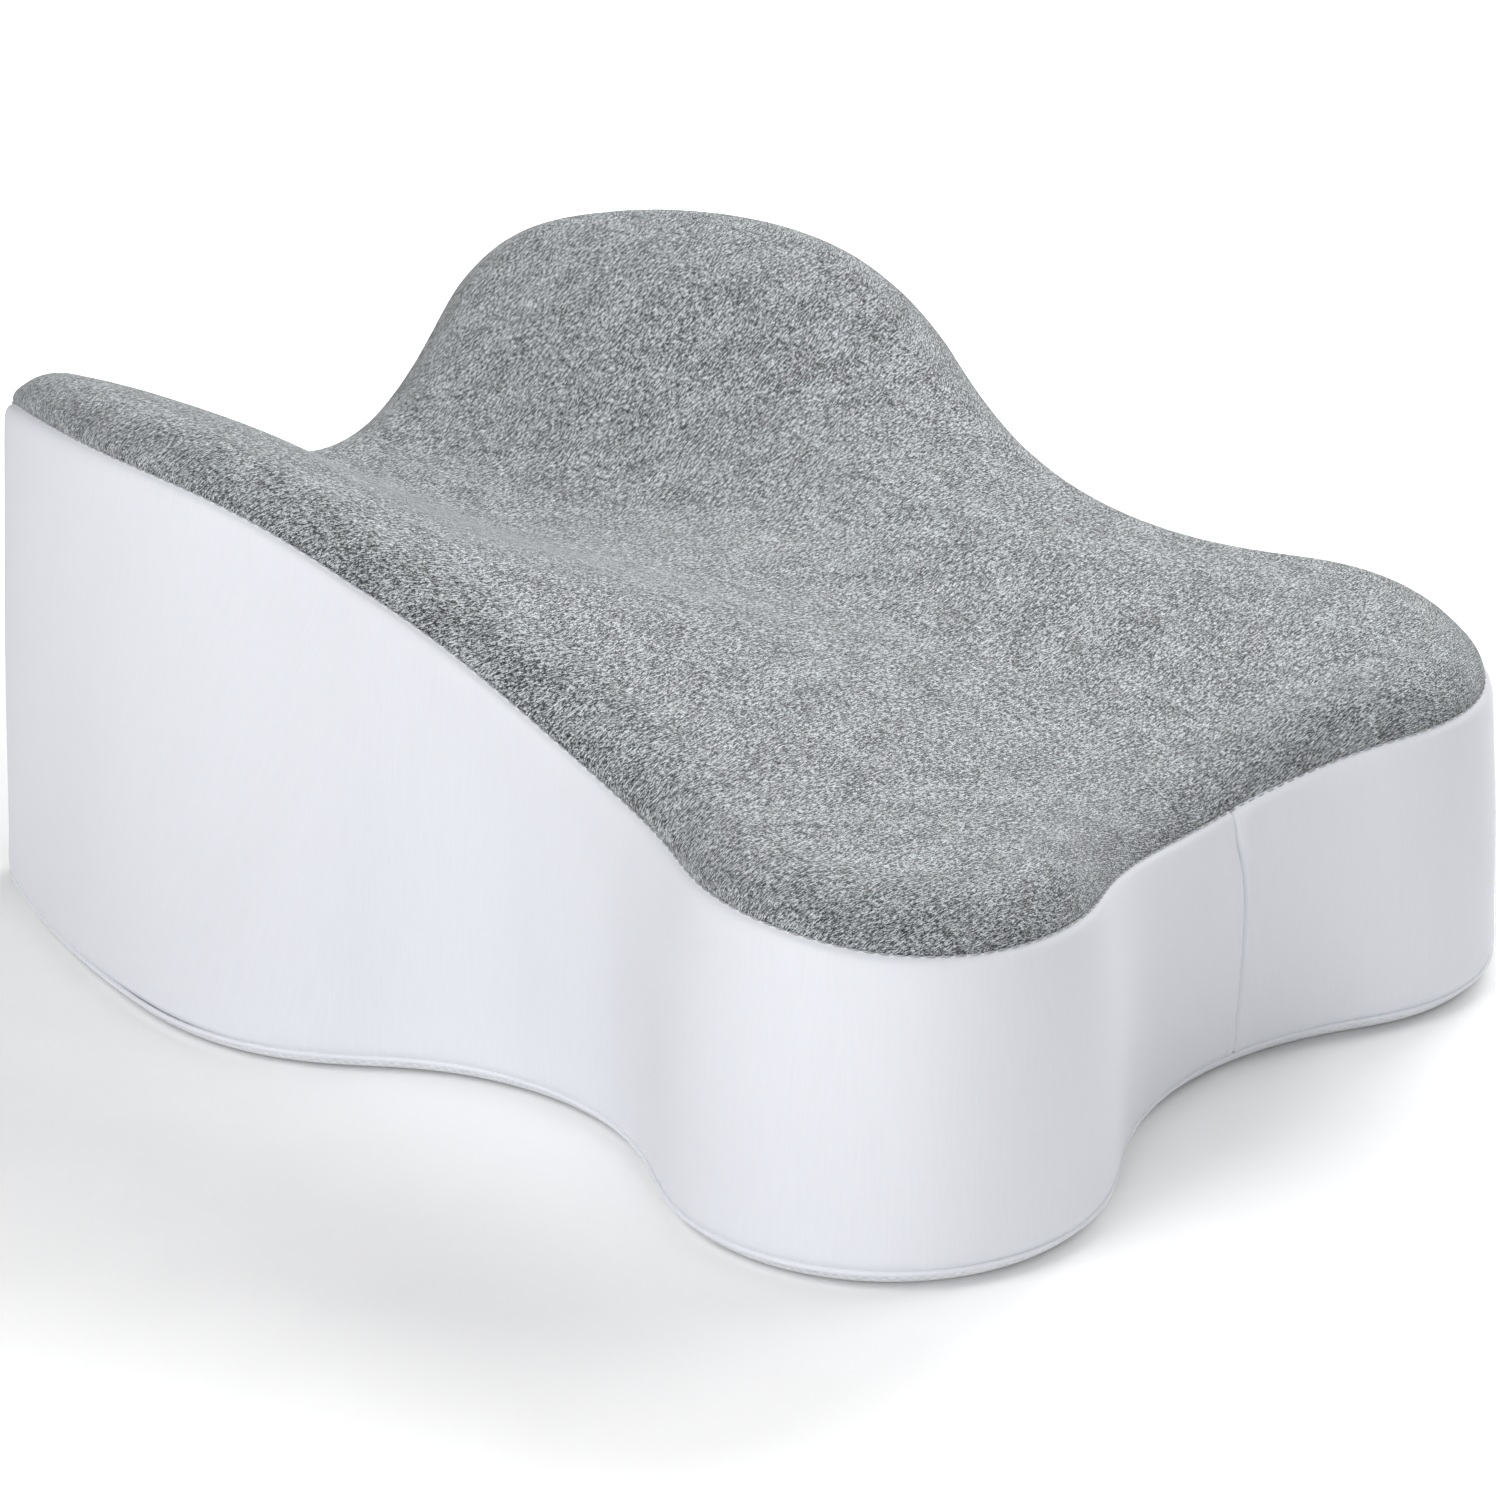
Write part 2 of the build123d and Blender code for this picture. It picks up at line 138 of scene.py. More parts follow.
def half_plan(plan, points_per_arc=60):
    """Right half of a plan, from the front notch to the rear notch, as points on its seven tangent arcs."""
    front, wing, rear = (np.array(plan[key][:2], float) for key in ("front", "wing", "rear"))
    front_r, wing_r, rear_r = (plan[key][2] for key in ("front", "wing", "rear"))
    notch, waist, side = plan["front_notch"], plan["waist"], plan["wing_side"]
    rear_notch = plan["rear_notch"]
    notch_y = front[1] - math.sqrt((notch + front_r) ** 2 - front[0] ** 2)
    rear_notch_y = rear[1] + math.sqrt((rear_notch + rear_r) ** 2 - rear[0] ** 2)
    arcs = [
        (np.array([0, notch_y]), notch, -1),
        (front, front_r, 1),
        (meeting_point(front, front_r + waist, wing, wing_r + waist, 1), waist, -1),
        (wing, wing_r, 1),
        (meeting_point(wing, side - wing_r, rear, side - rear_r, -1), side, 1),
        (rear, rear_r, 1),
        (np.array([0, rear_notch_y]), rear_notch, -1),
    ]
    joins = [np.array([0, notch_y + notch])]
    for (a, a_radius, a_turn), (b, b_radius, b_turn) in zip(arcs, arcs[1:]):
        away = (b - a) / np.hypot(*(b - a))
        outward = away if a_turn != b_turn or a_radius > b_radius else -away
        joins.append(a + outward * a_radius)
    joins.append(np.array([0, rear_notch_y - rear_notch]))
    points = []
    for (centre, radius, turn), start, end in zip(arcs, joins, joins[1:]):
        first = math.atan2(*(start - centre)[::-1])
        sweep = (math.atan2(*(end - centre)[::-1]) - first + math.pi) % (2 * math.pi) - math.pi
        if turn > 0 and sweep < -1:
            sweep += 2 * math.pi
        angles = first + sweep * np.arange(points_per_arc) / points_per_arc
        points.append(centre + radius * np.c_[np.cos(angles), np.sin(angles)])
    return np.concatenate(points + [joins[-1][None]])


def whole_loop(half):
    """Both halves as one closed loop from the front notch, first along +X."""
    return np.concatenate([half, half[-2:0:-1] * [-1, 1]])


def run_along(path):
    return np.r_[0, np.cumsum(np.hypot(*np.diff(path, axis=0).T))]


def sample_loop(loop, distances, at):
    closed = np.concatenate([loop, loop[:1]])
    return np.c_[np.interp(at, distances, closed[:, 0]), np.interp(at, distances, closed[:, 1])]


def soften(loop, spacing):
    """Smooths a closed, evenly spaced loop with a bell-shaped average."""
    reach = int(3 * PLAN_SOFTNESS / spacing)
    offsets = np.arange(-reach, reach + 1)
    weights = np.exp(-0.5 * (offsets * spacing / PLAN_SOFTNESS) ** 2)
    weights /= weights.sum()
    return sum(w * np.roll(loop, -k, axis=0) for w, k in zip(weights, offsets))


def column_distances(length):
    """Distance of each column along half the loop: even, but closer beside the seams at both ends."""
    body = np.linspace(SEAM_SPREAD[-1], length - SEAM_SPREAD[-1], int(length / COLUMN_STEP))
    spread = np.array(SEAM_SPREAD[:-1])
    return np.concatenate([[0], spread, body, length - spread[::-1]])


def plan_columns():
    """Foot and seam points of every column, and each column's distance along the loop."""
    foot, seam = whole_loop(half_plan(FOOT_PLAN)), whole_loop(half_plan(SEAM_PLAN))
    middle = (foot + seam) / 2
    mean = run_along(np.concatenate([middle, middle[:1]]))
    total = mean[-1]
    spacing = total / LOOP_STEPS
    even = np.arange(0, total, spacing)
    foot, seam = (soften(sample_loop(loop, mean, even), spacing) for loop in (foot, seam))
    half = column_distances(total / 2)
    at = np.concatenate([half, total / 2 + half])
    stops = np.r_[even, total]
    to_front = np.minimum(at, total - at)
    shifted = (at + FRONT_SEAM_SHIFT * bell(to_front, SEAM_SHIFT_REACH)) % total
    return sample_loop(foot, stops, shifted), sample_loop(seam, stops, shifted), at, total


def inward(loop):
    """Unit normals of a closed loop, pointing to its inside."""
    before, after = np.roll(loop, 1, axis=0), np.roll(loop, -1, axis=0)
    back, ahead = loop - before, after - loop
    back_length, ahead_length = np.hypot(*back.T)[:, None], np.hypot(*ahead.T)[:, None]
    tangent = back / back_length * ahead_length + ahead / ahead_length * back_length
    tangent /= np.hypot(*tangent.T)[:, None]
    return np.c_[-tangent[:, 1], tangent[:, 0]]


FOOT, SEAM, ALONG, AROUND = plan_columns()
COLUMNS = len(FOOT)
HALF = COLUMNS // 2  # the column of the rear seam; column 0 is the front seam
FOOT_IN, SEAM_IN = inward(FOOT), inward(SEAM)
TO_FRONT = np.minimum(ALONG, AROUND - ALONG)  # distance of each column from the front seam


# ---------------------------------------------------------------- height of the top, read from the CAD
HEIGHT_STEP = 8
HEIGHT_NODES = np.arange(-168, 169, HEIGHT_STEP)
HEIGHT_STIFFNESS = (0.05, 0.05, 0.5)  # of middle, crest and flank, along the pillow
PROBE_X, PROBE_Y, PROBE_STEP = 110, 140, 5.0
PROBE_MARGIN = TOP_R + 1.5  # probes keep this far from the rim


def cross_shape(x):
    """Middle, crest and flank share of a height across the pillow."""
    reach = np.clip(np.abs(x) / CREST_X, 0, 1)
    crest, flank = np.sin(math.pi / 2 * reach) ** 2, np.sin(math.pi * reach) ** 2
    return np.stack([np.ones_like(reach), crest, flank], -1)


def cad_heights():
    """Points on the CAD top, well inside its rounded rim."""
    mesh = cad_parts["top_panel"].data
    tree = BVHTree.FromPolygons([v.co for v in mesh.vertices], [p.vertices[:] for p in mesh.polygons])
    above = cad_high.z + UNIT

    def drop(x, y):
        hit = tree.ray_cast((x * UNIT, y * UNIT, above), (0, 0, -1))
        return None if hit[0] is None or hit[0].z < above / 3 else hit[0].z / UNIT

    found = []
    directions = [(math.cos(a), math.sin(a)) for a in np.arange(8) * math.pi / 4]
    for y in np.arange(-PROBE_Y, PROBE_Y + 1, PROBE_STEP):
        for x in np.arange(0, PROBE_X + 1, PROBE_STEP):
            z = drop(x, y)
            ring = [drop(x + PROBE_MARGIN * across, y + PROBE_MARGIN * ahead) for across, ahead in directions]
            if z is not None and all(r is not None for r in ring):
                found.append((x, y, z))
    return np.array(found)


def fit_heights():
    """Height at each node for middle, crest and flank. It carries straight on past the rim."""
    points = cad_heights()
    count = len(HEIGHT_NODES)
    place = (points[:, 1] - HEIGHT_NODES[0]) / HEIGHT_STEP
    first = np.floor(place).astype(int)
    share = place - first
    rows = np.zeros((len(points), 3, count))
    shape = cross_shape(points[:, 0])
    for k in range(3):
        rows[np.arange(len(points)), k, first] = shape[:, k] * (1 - share)
        rows[np.arange(len(points)), k, first + 1] = shape[:, k] * share
    bend = np.diff(np.eye(count), 2, axis=0)
    steady = [np.kron(np.eye(3)[k], bend) * HEIGHT_STIFFNESS[k] for k in range(3)]
    system = np.concatenate([rows.reshape(len(points), -1)] + steady)
    wanted = np.concatenate([points[:, 2], np.zeros(3 * len(bend))])
    return np.linalg.lstsq(system, wanted, rcond=None)[0].reshape(3, count)


HEIGHTS = fit_heights()


def top_height(xy):
    """Height of the unrounded top over points of the plan."""
    place = np.clip((xy[..., 1] - HEIGHT_NODES[0]) / HEIGHT_STEP, 1, len(HEIGHT_NODES) - 3 - 1e-6)
    first = np.floor(place).astype(int)
    t = place - first
    a, b, c, d = (HEIGHTS[:, first + k] for k in (-1, 0, 1, 2))
    along = b + 0.5 * t * (c - a + t * (2 * a - 5 * b + 4 * c - d + t * (3 * (b - c) + d - a)))
    return (cross_shape(xy[..., 0]) * np.moveaxis(along, 0, -1)).sum(-1)


RIM_Z = top_height(SEAM)  # height of the unrounded top over each column
WALL_TOP = RIM_Z - TOP_R  # where the wall turns into the rounding


# ---------------------------------------------------------------- sections
def seam_dip(distance, depth, roll, width=0.9):
    """How far cloth stands out beside a seam: it dives into the seam and rolls up next to it."""
    return roll * bell(distance - 3.5 * width, 2 * width) - depth * bell(distance, width)


def from_seam(at):
    """Distance of each column from the nearer upright seam, along the loop."""
    half = AROUND / 2
    return np.abs((at + half / 2) % half - half / 2)


def unevenness(u, v):
    """Slow swell of the foam under the cloth, within half a millimetre."""
    return (0.22 * np.sin(u / 17.0 + 0.7 * np.sin(v / 23.0)) * np.cos(v / 29.0 + 0.4)
            + 0.12 * np.sin(u / 9.1 + v / 13.7 + 1.3) + 0.10 * np.sin(v / 11.0 - u / 31.0))


def wall_point(share, rise, inset):
    """One row of a wall. Share 0 is the foot and 1 the seam; inset is its depth inside the plan."""
    plan = FOOT + (SEAM - FOOT) * share[:, None]
    into = FOOT_IN + (SEAM_IN - FOOT_IN) * share[:, None]
    into /= np.hypot(*into.T)[:, None]
    return np.c_[plan + into * inset[:, None], rise]


SEAM_ANGLE = math.asin(1 - SEAM_DROP / TOP_R)  # where the top seam lies on the rounding
SEAM_ARC = TOP_R * SEAM_ANGLE
TOP_ARC = TOP_R * math.pi / 2  # where the rounding ends on the top


def section_row(arc, inset=0.0):
    """A row at a distance along the section from where the top rounding starts. Up is positive."""
    if arc < 0:
        rise = WALL_TOP + arc
        return wall_point(np.clip(rise / WALL_TOP, 0, 1), rise, blank(inset))
    radius = TOP_R - inset
    angle = min(arc / TOP_R, math.pi / 2)
    plan = SEAM + SEAM_IN * (inset + radius * (1 - math.cos(angle)))
    return np.c_[plan, top_height(plan) - inset - radius * (1 - math.sin(angle))]


def blank(value=0.0):
    return np.full(COLUMNS, float(value))


class Grid:
    """Rows of points with the cloth coordinates that the weave follows."""

    def __init__(self):
        self.points, self.weave, self.edge, self.amounts, self.upright = [], [], [], [], []

    def add(self, points, weave, edge, amount=0.0, upright=0.0):
        """Upright is how far a row's normals are turned to the vertical, where its points crowd together."""
        self.points.append(points)
        self.weave.append(weave)
        self.edge.append(edge)
        self.amounts.append(amount + blank(0))
        self.upright.append(upright)

    def normals(self):
        stack = np.array(self.points)
        across = np.roll(stack, -1, axis=1) - np.roll(stack, 1, axis=1)
        normal = np.cross(across, np.gradient(stack, axis=0))
        normal /= np.linalg.norm(normal, axis=2, keepdims=True) + 1e-9
        share = np.array(self.upright)[:, None, None]
        normal = normal * (1 - share) + np.array([0, 0, 1.0]) * share
        return normal / np.linalg.norm(normal, axis=2, keepdims=True)

    def push_out(self, swell=0.0):
        """Moves every point along the surface normal by its own amount and by the cloth's swell."""
        amounts = np.array(self.amounts) + swell
        self.points = list(np.array(self.points) + self.normals() * amounts[..., None])


# ---------------------------------------------------------------- cloth simulation
SIM_FRAMES = 20
SIM_PRESSURE = 4.0
SIM_CAP = 6.0  # furthest that a point may move
SIM_COLUMNS, SIM_ROWS = 4, 2  # every so many columns and rows take part
SIM_QUALITY, SIM_STIFFNESS = 5, 20
WALL_SWELL = 0.5  # share of the simulated swell that the foam lets the walls keep
TOP_SWELL = 0.3


def stretch_cloth(name, points, faces, pinned):
    """Inflates a sheet held at its pinned points, and returns how far each point moved."""
    mesh = bpy.data.meshes.new(name)
    mesh.from_pydata((points * UNIT).tolist(), [], faces)
    sheet = bpy.data.objects.new(name, mesh)
    scene = bpy.context.scene
    scene.collection.objects.link(sheet)
    sheet.vertex_groups.new(name="pinned").add([int(i) for i in np.flatnonzero(pinned)], 1.0, "REPLACE")
    cloth = sheet.modifiers.new("Cloth", "CLOTH")
    cloth.settings.quality = SIM_QUALITY
    cloth.settings.vertex_group_mass = "pinned"
    cloth.settings.tension_stiffness = SIM_STIFFNESS
    cloth.settings.compression_stiffness = SIM_STIFFNESS
    cloth.settings.use_pressure = True
    cloth.settings.uniform_pressure_force = SIM_PRESSURE
    cloth.settings.effector_weights.gravity = 0
    cloth.collision_settings.use_collision = False
    cloth.point_cache.frame_start, cloth.point_cache.frame_end = 1, SIM_FRAMES
    for number in range(1, SIM_FRAMES + 1):
        scene.frame_set(number)
    result = sheet.evaluated_get(bpy.context.evaluated_depsgraph_get()).to_mesh()
    moved = np.array([v.co for v in result.vertices]) / UNIT - points
    bpy.data.objects.remove(sheet)
    scene.frame_set(1)
    return moved


def widen(coarse, rows, columns, row_count):
    """Coarse field of some rows and columns, spread smoothly over the whole grid."""
    wide = np.array([np.interp(np.arange(COLUMNS), np.r_[columns, COLUMNS], np.r_[line, line[0]])
                     for line in coarse])
    full = np.array([np.interp(np.arange(row_count), rows, wide[:, c]) for c in range(COLUMNS)]).T
    for _ in range(6):
        full = (np.roll(full, 1, axis=1) + 2 * full + np.roll(full, -1, axis=1)) / 4
        full[1:-1] = (full[:-2] + 2 * full[1:-1] + full[2:]) / 4
    return full


def swell_of(grid, name, closed_spine, held_rows, held_columns, share):
    """How far cloth under pressure stands out from each point of a grid, once the foam holds it back."""
    row_count = len(grid.points)
    rows = np.unique(np.r_[np.arange(0, row_count, SIM_ROWS), row_count - 1])
    one_side = np.arange(0, HALF, SIM_COLUMNS)
    columns = np.unique(np.r_[one_side, COLUMNS - one_side[1:], HALF])
    points = np.array(grid.points)[rows][:, columns]
    faces = grid_faces(len(rows), len(columns), True)
    pinned = np.zeros(points.shape[:2], bool)
    pinned[held_rows] = True
    pinned[:, [int(np.flatnonzero(columns == c)[0]) for c in held_columns]] = True
    count = points.shape[0] * points.shape[1]
    moved = np.zeros((count, 3))
    twins = {}
    if closed_spine:
        twins = middle_line(count - len(columns), len(columns))
        faces = merged(faces, twins)
        count = min(twins)
    moved[:count] = stretch_cloth(name, points.reshape(-1, 3)[:count], faces, pinned.ravel()[:count])
    for twin, kept in twins.items():
        moved[twin] = moved[kept]
    out = (moved.reshape(points.shape) * grid.normals()[rows][:, columns]).sum(2)
    return widen(np.clip(out, -SIM_CAP, SIM_CAP) * share, rows, columns, row_count)


# ---------------------------------------------------------------- cover: walls
def lean_front_seam(points, below_top):
    """Draws the top end of the front seam to the left, where the stitching gathers it."""
    tangent = np.c_[SEAM_IN[:, 1], -SEAM_IN[:, 0], blank(0)]
    pull = GATHER_PULL * bell(TO_FRONT, GATHER_WIDTH) * np.exp(-below_top / GATHER_DEPTH)
    return points - tangent * pull[:, None]


def gather(below_top):
    """Soft ridge and hollow beside the top end of the front seam."""
    side_of_seam = np.where(ALONG < AROUND / 2, TO_FRONT, -TO_FRONT)
    folds = sum(height * bell(side_of_seam - at, width) for height, at, width in PUCKERS)
    return np.exp(-below_top / PUCKER_DEPTH) * folds


def wall_grid():
    """Whole white wall from the piping to the top seam."""
    grid = Grid()
    start = PIPING_Z + PIPING_R * 0.7
    beside = from_seam(ALONG)
    upright = seam_dip(beside, **UPRIGHT_DIP)
    lower = start + np.array(ROW_SPREAD + (6.5, 9.0))
    upper = SEAM_ARC - np.array(ROW_SPREAD[::-1])
    top_of_middle = np.minimum(WALL_TOP + upper[0], WALL_TOP)
    for rise in lower:
        below = max(BOTTOM_R - rise, 0)
        depth = BOTTOM_R - math.sqrt(BOTTOM_R**2 - below**2)
        points = wall_point(rise / WALL_TOP, blank(rise), blank(depth))
        grid.add(lean_front_seam(points, WALL_TOP - rise), np.c_[ALONG, blank(rise)], blank(0),
                 seam_dip(rise - start, **FOOT_DIP) + upright)
    for t in np.linspace(0, 1, 26)[1:-1]:
        rise = lower[-1] + (top_of_middle - lower[-1]) * t
        slow = math.sin(math.pi * t)
        crown = WALL_CROWN * slow * (1 - bell(beside, CROWN_EASE))
        points = wall_point(rise / WALL_TOP, rise, blank(0))
        grid.add(lean_front_seam(points, WALL_TOP - rise), np.c_[ALONG, rise], blank(0),
                 upright + crown + unevenness(ALONG, rise) * slow + gather(WALL_TOP - rise))
    for arc in upper:
        fold = gather(blank(0)) * (SEAM_ARC - arc) / 5
        grid.add(lean_front_seam(section_row(arc), blank(0)), np.c_[ALONG, WALL_TOP + arc], blank(1),
                 seam_dip(SEAM_ARC - arc, **WALL_DIP) + upright * 0.6 + fold)
    grid.push_out(swell_of(grid, "wall_sheet", False, [0, -1], [0, HALF], WALL_SWELL))
    return grid


# ---------------------------------------------------------------- cover: top
SPINE_FRONT, SPINE_REAR = -92, 100


def spine_points():
    """Point on the middle line that each column of the top runs to. Its front end bends to the front seam."""
    x = FRONT_SEAM_SHIFT * bell(TO_FRONT, SEAM_SHIFT_REACH)
    return np.c_[x, SPINE_FRONT + (SPINE_REAR - SPINE_FRONT) * TO_FRONT / (AROUND / 2)]


def top_grid(inset=0.0, first_arc=None, rows=30):
    """Top cloth: over the rounding from the seam, then in to the middle line."""
    grid = Grid()
    if first_arc is None:
        arcs = np.concatenate([SEAM_ARC + np.array(ROW_SPREAD), np.linspace(SEAM_ARC + 6, TOP_ARC, 9)])
    else:
        arcs = np.linspace(first_arc, TOP_ARC, 10)
    rim = SEAM + SEAM_IN * TOP_R
    lean = np.abs(SEAM_IN[:, :1]) * [0, -1]  # over the side edges the knit runs down at a slant
    for arc in arcs:
        down = TOP_ARC - arc
        weave = rim - SEAM_IN * down * RIM_STRETCH + lean * down * RIM_SLANT
        edge = blank(1 - (arc - arcs[0]) / (TOP_ARC - arcs[0]))
        grid.add(section_row(arc, inset), weave, edge, seam_dip(arc - SEAM_ARC, **TOP_DIP))
    spine = spine_points()
    for t in (np.arange(1, rows + 1) / rows) ** 1.15:  # rows lie a little closer near the rim
        plan = rim + (spine - rim) * t
        grid.add(np.c_[plan, top_height(plan) - inset], plan, blank(0),
                 unevenness(plan[:, 0], plan[:, 1]) * min(1, 6 * t), smooth_step(t))
    if first_arc is None:
        swell = swell_of(grid, "top_sheet", True, [0], [], TOP_SWELL)
        inward_share = np.linspace(0, 1, len(swell))[:, None]
        grid.push_out(swell - swell.mean() * inward_share)  # the top keeps the CAD's mean height
    return grid


# ---------------------------------------------------------------- meshes
def smooth_step(t):
    t = np.clip(t, 0, 1)
    return t * t * (3 - 2 * t)


def make_object(name, points, faces, material, weave=None, edge=None):
    """Mesh object in metres, with the cloth coordinates as attributes."""
    mesh = bpy.data.meshes.new(name)
    mesh.from_pydata((np.asarray(points) * UNIT).tolist(), [], faces)
    if weave is not None:
        attribute = mesh.attributes.new("weave", "FLOAT_VECTOR", "POINT")
        flat = np.c_[np.asarray(weave), np.zeros(len(points))].astype(np.float32)
        attribute.data.foreach_set("vector", flat.ravel())
    if edge is not None:
        attribute = mesh.attributes.new("edge", "FLOAT", "POINT")
        attribute.data.foreach_set("value", np.asarray(edge, np.float32))
    mesh.validate()
    mesh.shade_smooth()
    mesh.materials.append(material)
    obj = bpy.data.objects.new(name, mesh)
    bpy.context.scene.collection.objects.link(obj)
    return obj


def grid_faces(rows, columns, closed, offset=0, flip=False):
    faces = []
    for r in range(rows - 1):
        for c in range(columns if closed else columns - 1):
            n = (c + 1) % columns
            quad = (offset + r * columns + c, offset + r * columns + n,
                    offset + (r + 1) * columns + n, offset + (r + 1) * columns + c)
            faces.append(quad[::-1] if flip else quad)
    return faces


def middle_line(first, columns):
    """Points of a last or first row that share the place of a point on the row's other half."""
    return {first + c: first + columns - c for c in range(columns // 2 + 1, columns)}


def merged(faces, twins):
    return [tuple(twins.get(i, i) for i in face) for face in faces]


def panel_from(grid, name, columns, material):
    """Open panel from some of a grid's columns."""
    points, weave, edge = (np.array(part)[:, columns] for part in (grid.points, grid.weave, grid.edge))
    return make_object(name, points.reshape(-1, 3), grid_faces(*points.shape[:2], False), material,
                       weave.reshape(-1, 2), edge.ravel())


def closed_top(grid, name, material):
    """Top sheet whose two halves share the points of the middle line."""
    points, weave, edge = (np.array(part) for part in (grid.points, grid.weave, grid.edge))
    twins = middle_line((len(points) - 1) * COLUMNS, COLUMNS)
    keep = min(twins)
    faces = merged(grid_faces(len(points), COLUMNS, True), twins)
    return make_object(name, points.reshape(-1, 3)[:keep], faces, material,
                       weave.reshape(-1, 2)[:keep], edge.ravel()[:keep])


# ---------------------------------------------------------------- materials
class Nodes:
    """Short way to build a material's node tree."""

    def __init__(self, name):
        self.material = bpy.data.materials.new(name)
        self.material.use_nodes = True
        self.tree = self.material.node_tree
        self.surface = self.tree.nodes["Principled BSDF"]

    def add(self, kind, settings=None, **inputs):
        node = self.tree.nodes.new(kind)
        for key, value in (settings or {}).items():
            setattr(node, key, value)
        for key, value in inputs.items():
            self.set(node, key.replace("_", " "), value)
        return node

    def set(self, node, key, value):
        if isinstance(value, bpy.types.NodeSocket):
            self.tree.links.new(value, node.inputs[key])
        else:
            node.inputs[key].default_value = value

    def math(self, operation, a, b=0.0, c=0.0):
        node = self.add("ShaderNodeMath", {"operation": operation})
        for index, value in enumerate((a, b, c)):
            self.set(node, index, value)
        return node.outputs[0]

    def total(self, *parts, base=None):
        """Sum of values, each times its weight, on top of a base."""
        for value, weight in parts:
            if base is None:
                base = self.math("MULTIPLY", value, weight)
            else:
                base = self.math("MULTIPLY_ADD", value, weight, base)
        return base

    def ribs(self, place, pitch):
        """Rises and falls once in each pitch."""
        return self.math("SINE", self.math("MULTIPLY", place, 2 * math.pi / pitch))

    def vector(self, operation, *values):
        node = self.add("ShaderNodeVectorMath", {"operation": operation})
        for index, value in enumerate(values):
            self.set(node, index, value)
        return node.outputs[0]

    def stretched(self, vector, x, y, z=1.0):
        return self.vector("MULTIPLY", vector, (x, y, z))

    def attribute(self, name, output):
        return self.add("ShaderNodeAttribute", {"attribute_name": name}).outputs[output]

    def cloth(self):
        """Cloth coordinates of a woven piece, in design millimetres."""
        return self.attribute("weave", "Vector")

    def solid(self):
        """Coordinates of a solid piece, in metres."""
        return self.add("ShaderNodeTexCoord").outputs["Object"]

    def axes(self, vector):
        node = self.add("ShaderNodeSeparateXYZ", Vector=vector)
        return node.outputs["X"], node.outputs["Y"]

    def noise(self, vector, scale=1.0, detail=2.0, roughness=0.5):
        node = self.add("ShaderNodeTexNoise", Vector=vector, Scale=scale, Detail=detail, Roughness=roughness)
        return node.outputs["Fac"]

    def waves(self, vector, direction, **inputs):
        node = self.add("ShaderNodeTexWave", {"bands_direction": direction}, Vector=vector, **inputs)
        return node.outputs["Fac"]

    def ramp(self, value, stops):
        node = self.add("ShaderNodeValToRGB", Fac=value)
        ramp = node.color_ramp
        while len(ramp.elements) < len(stops):
            ramp.elements.new(0.5)
        for element, (position, colour) in zip(ramp.elements, stops):
            element.position = position
            element.color = (*colour, 1)
        return node.outputs["Color"]

    def span(self, value, low, high, to_low, to_high):
        limits = dict(From_Min=low, From_Max=high, To_Min=to_low, To_Max=to_high)
        return self.add("ShaderNodeMapRange", Value=value, **limits).outputs["Result"]

    def rough(self, noise, low, high):
        """Roughness between two values, from a noise that mostly stays within 0.3 and 0.7."""
        return self.span(noise, 0.3, 0.7, low, high)

    def mix(self, kind, factor, a, b):
        node = self.add("ShaderNodeMix", {"data_type": "RGBA", "blend_type": kind})
        for index, value in ((0, factor), (6, a), (7, b)):
            self.set(node, index, value)
        return node.outputs[2]

    def bump(self, height, strength, distance_mm):
        node = self.add("ShaderNodeBump", Strength=strength, Distance=distance_mm * UNIT, Height=height)
        return node.outputs["Normal"]

    def finish(self, colour, roughness, **inputs):
        for key, value in dict(Base_Color=colour, Roughness=roughness, **inputs).items():
            self.set(self.surface, key.replace("_", " "), value)
        return self.material


def grey(value, tint=(1.0, 1.0, 1.0)):
    return tuple(value * t for t in tint)


def heather_knit():
    """Grey melange knit: short light and dark yarn ends that run across the pillow, over fine wales."""
    n = Nodes("heather_knit")
    cloth = n.cloth()
    wander = n.add("ShaderNodeTexNoise", Vector=cloth, Scale=0.16, Detail=1.0).outputs["Color"]
    yarn = n.vector("MULTIPLY_ADD", wander, (0.8, 0.9, 0), cloth)
    streaks = n.noise(n.stretched(yarn, 0.95, 3.0), 1.0, 2.0, 0.6)
    flecks = n.noise(n.stretched(yarn, 0.42, 1.2), 1.0, 1.0)
    ends = n.noise(n.stretched(yarn, 2.2, 4.6), 1.0, 1.0)
    clouds = n.noise(cloth, 0.11, 2.0, 0.6)
    blend = n.total((streaks, 0.6), (ends, 0.35), (flecks, 0.24))
    shade = n.math("ADD", blend, n.total((clouds, 0.10), base=-0.05))
    cool = (0.955, 1.0, 1.03)
    tones = ((0.505, 0.03), (0.56, 0.13), (0.605, 0.36), (0.67, 0.87))
    colour = n.ramp(shade, [(at, grey(tone, cool)) for at, tone in tones])
    x, y = n.axes(yarn)
    wale, course = n.ribs(y, 0.68), n.ribs(x, 0.9)
    edge = n.attribute("edge", "Fac")
    gap = n.math("MULTIPLY", n.span(wale, -1, 0.4, 1, 0), n.span(edge, 0.25, 0.9, 0.10, 0.42))
    colour = n.mix("MULTIPLY", gap, colour, (0.25, 0.26, 0.28, 1))
    rim_shade = n.math("MULTIPLY", n.math("POWER", edge, 2.0), 0.35)  # painted shade: the top darkens over its rounding towards the seam
    colour = n.mix("MULTIPLY", rim_shade, colour, (0.2, 0.2, 0.21, 1))
    height = n.total((wale, 0.5), (course, 0.25), (shade, 2.0))
    return n.finish(colour, n.rough(streaks, 0.78, 0.95), Normal=n.bump(height, 0.55, 0.35),
                    Sheen_Weight=0.35, Sheen_Roughness=0.5, Sheen_Tint=(0.9, 0.93, 0.95, 1),
                    Specular_IOR_Level=0.25)


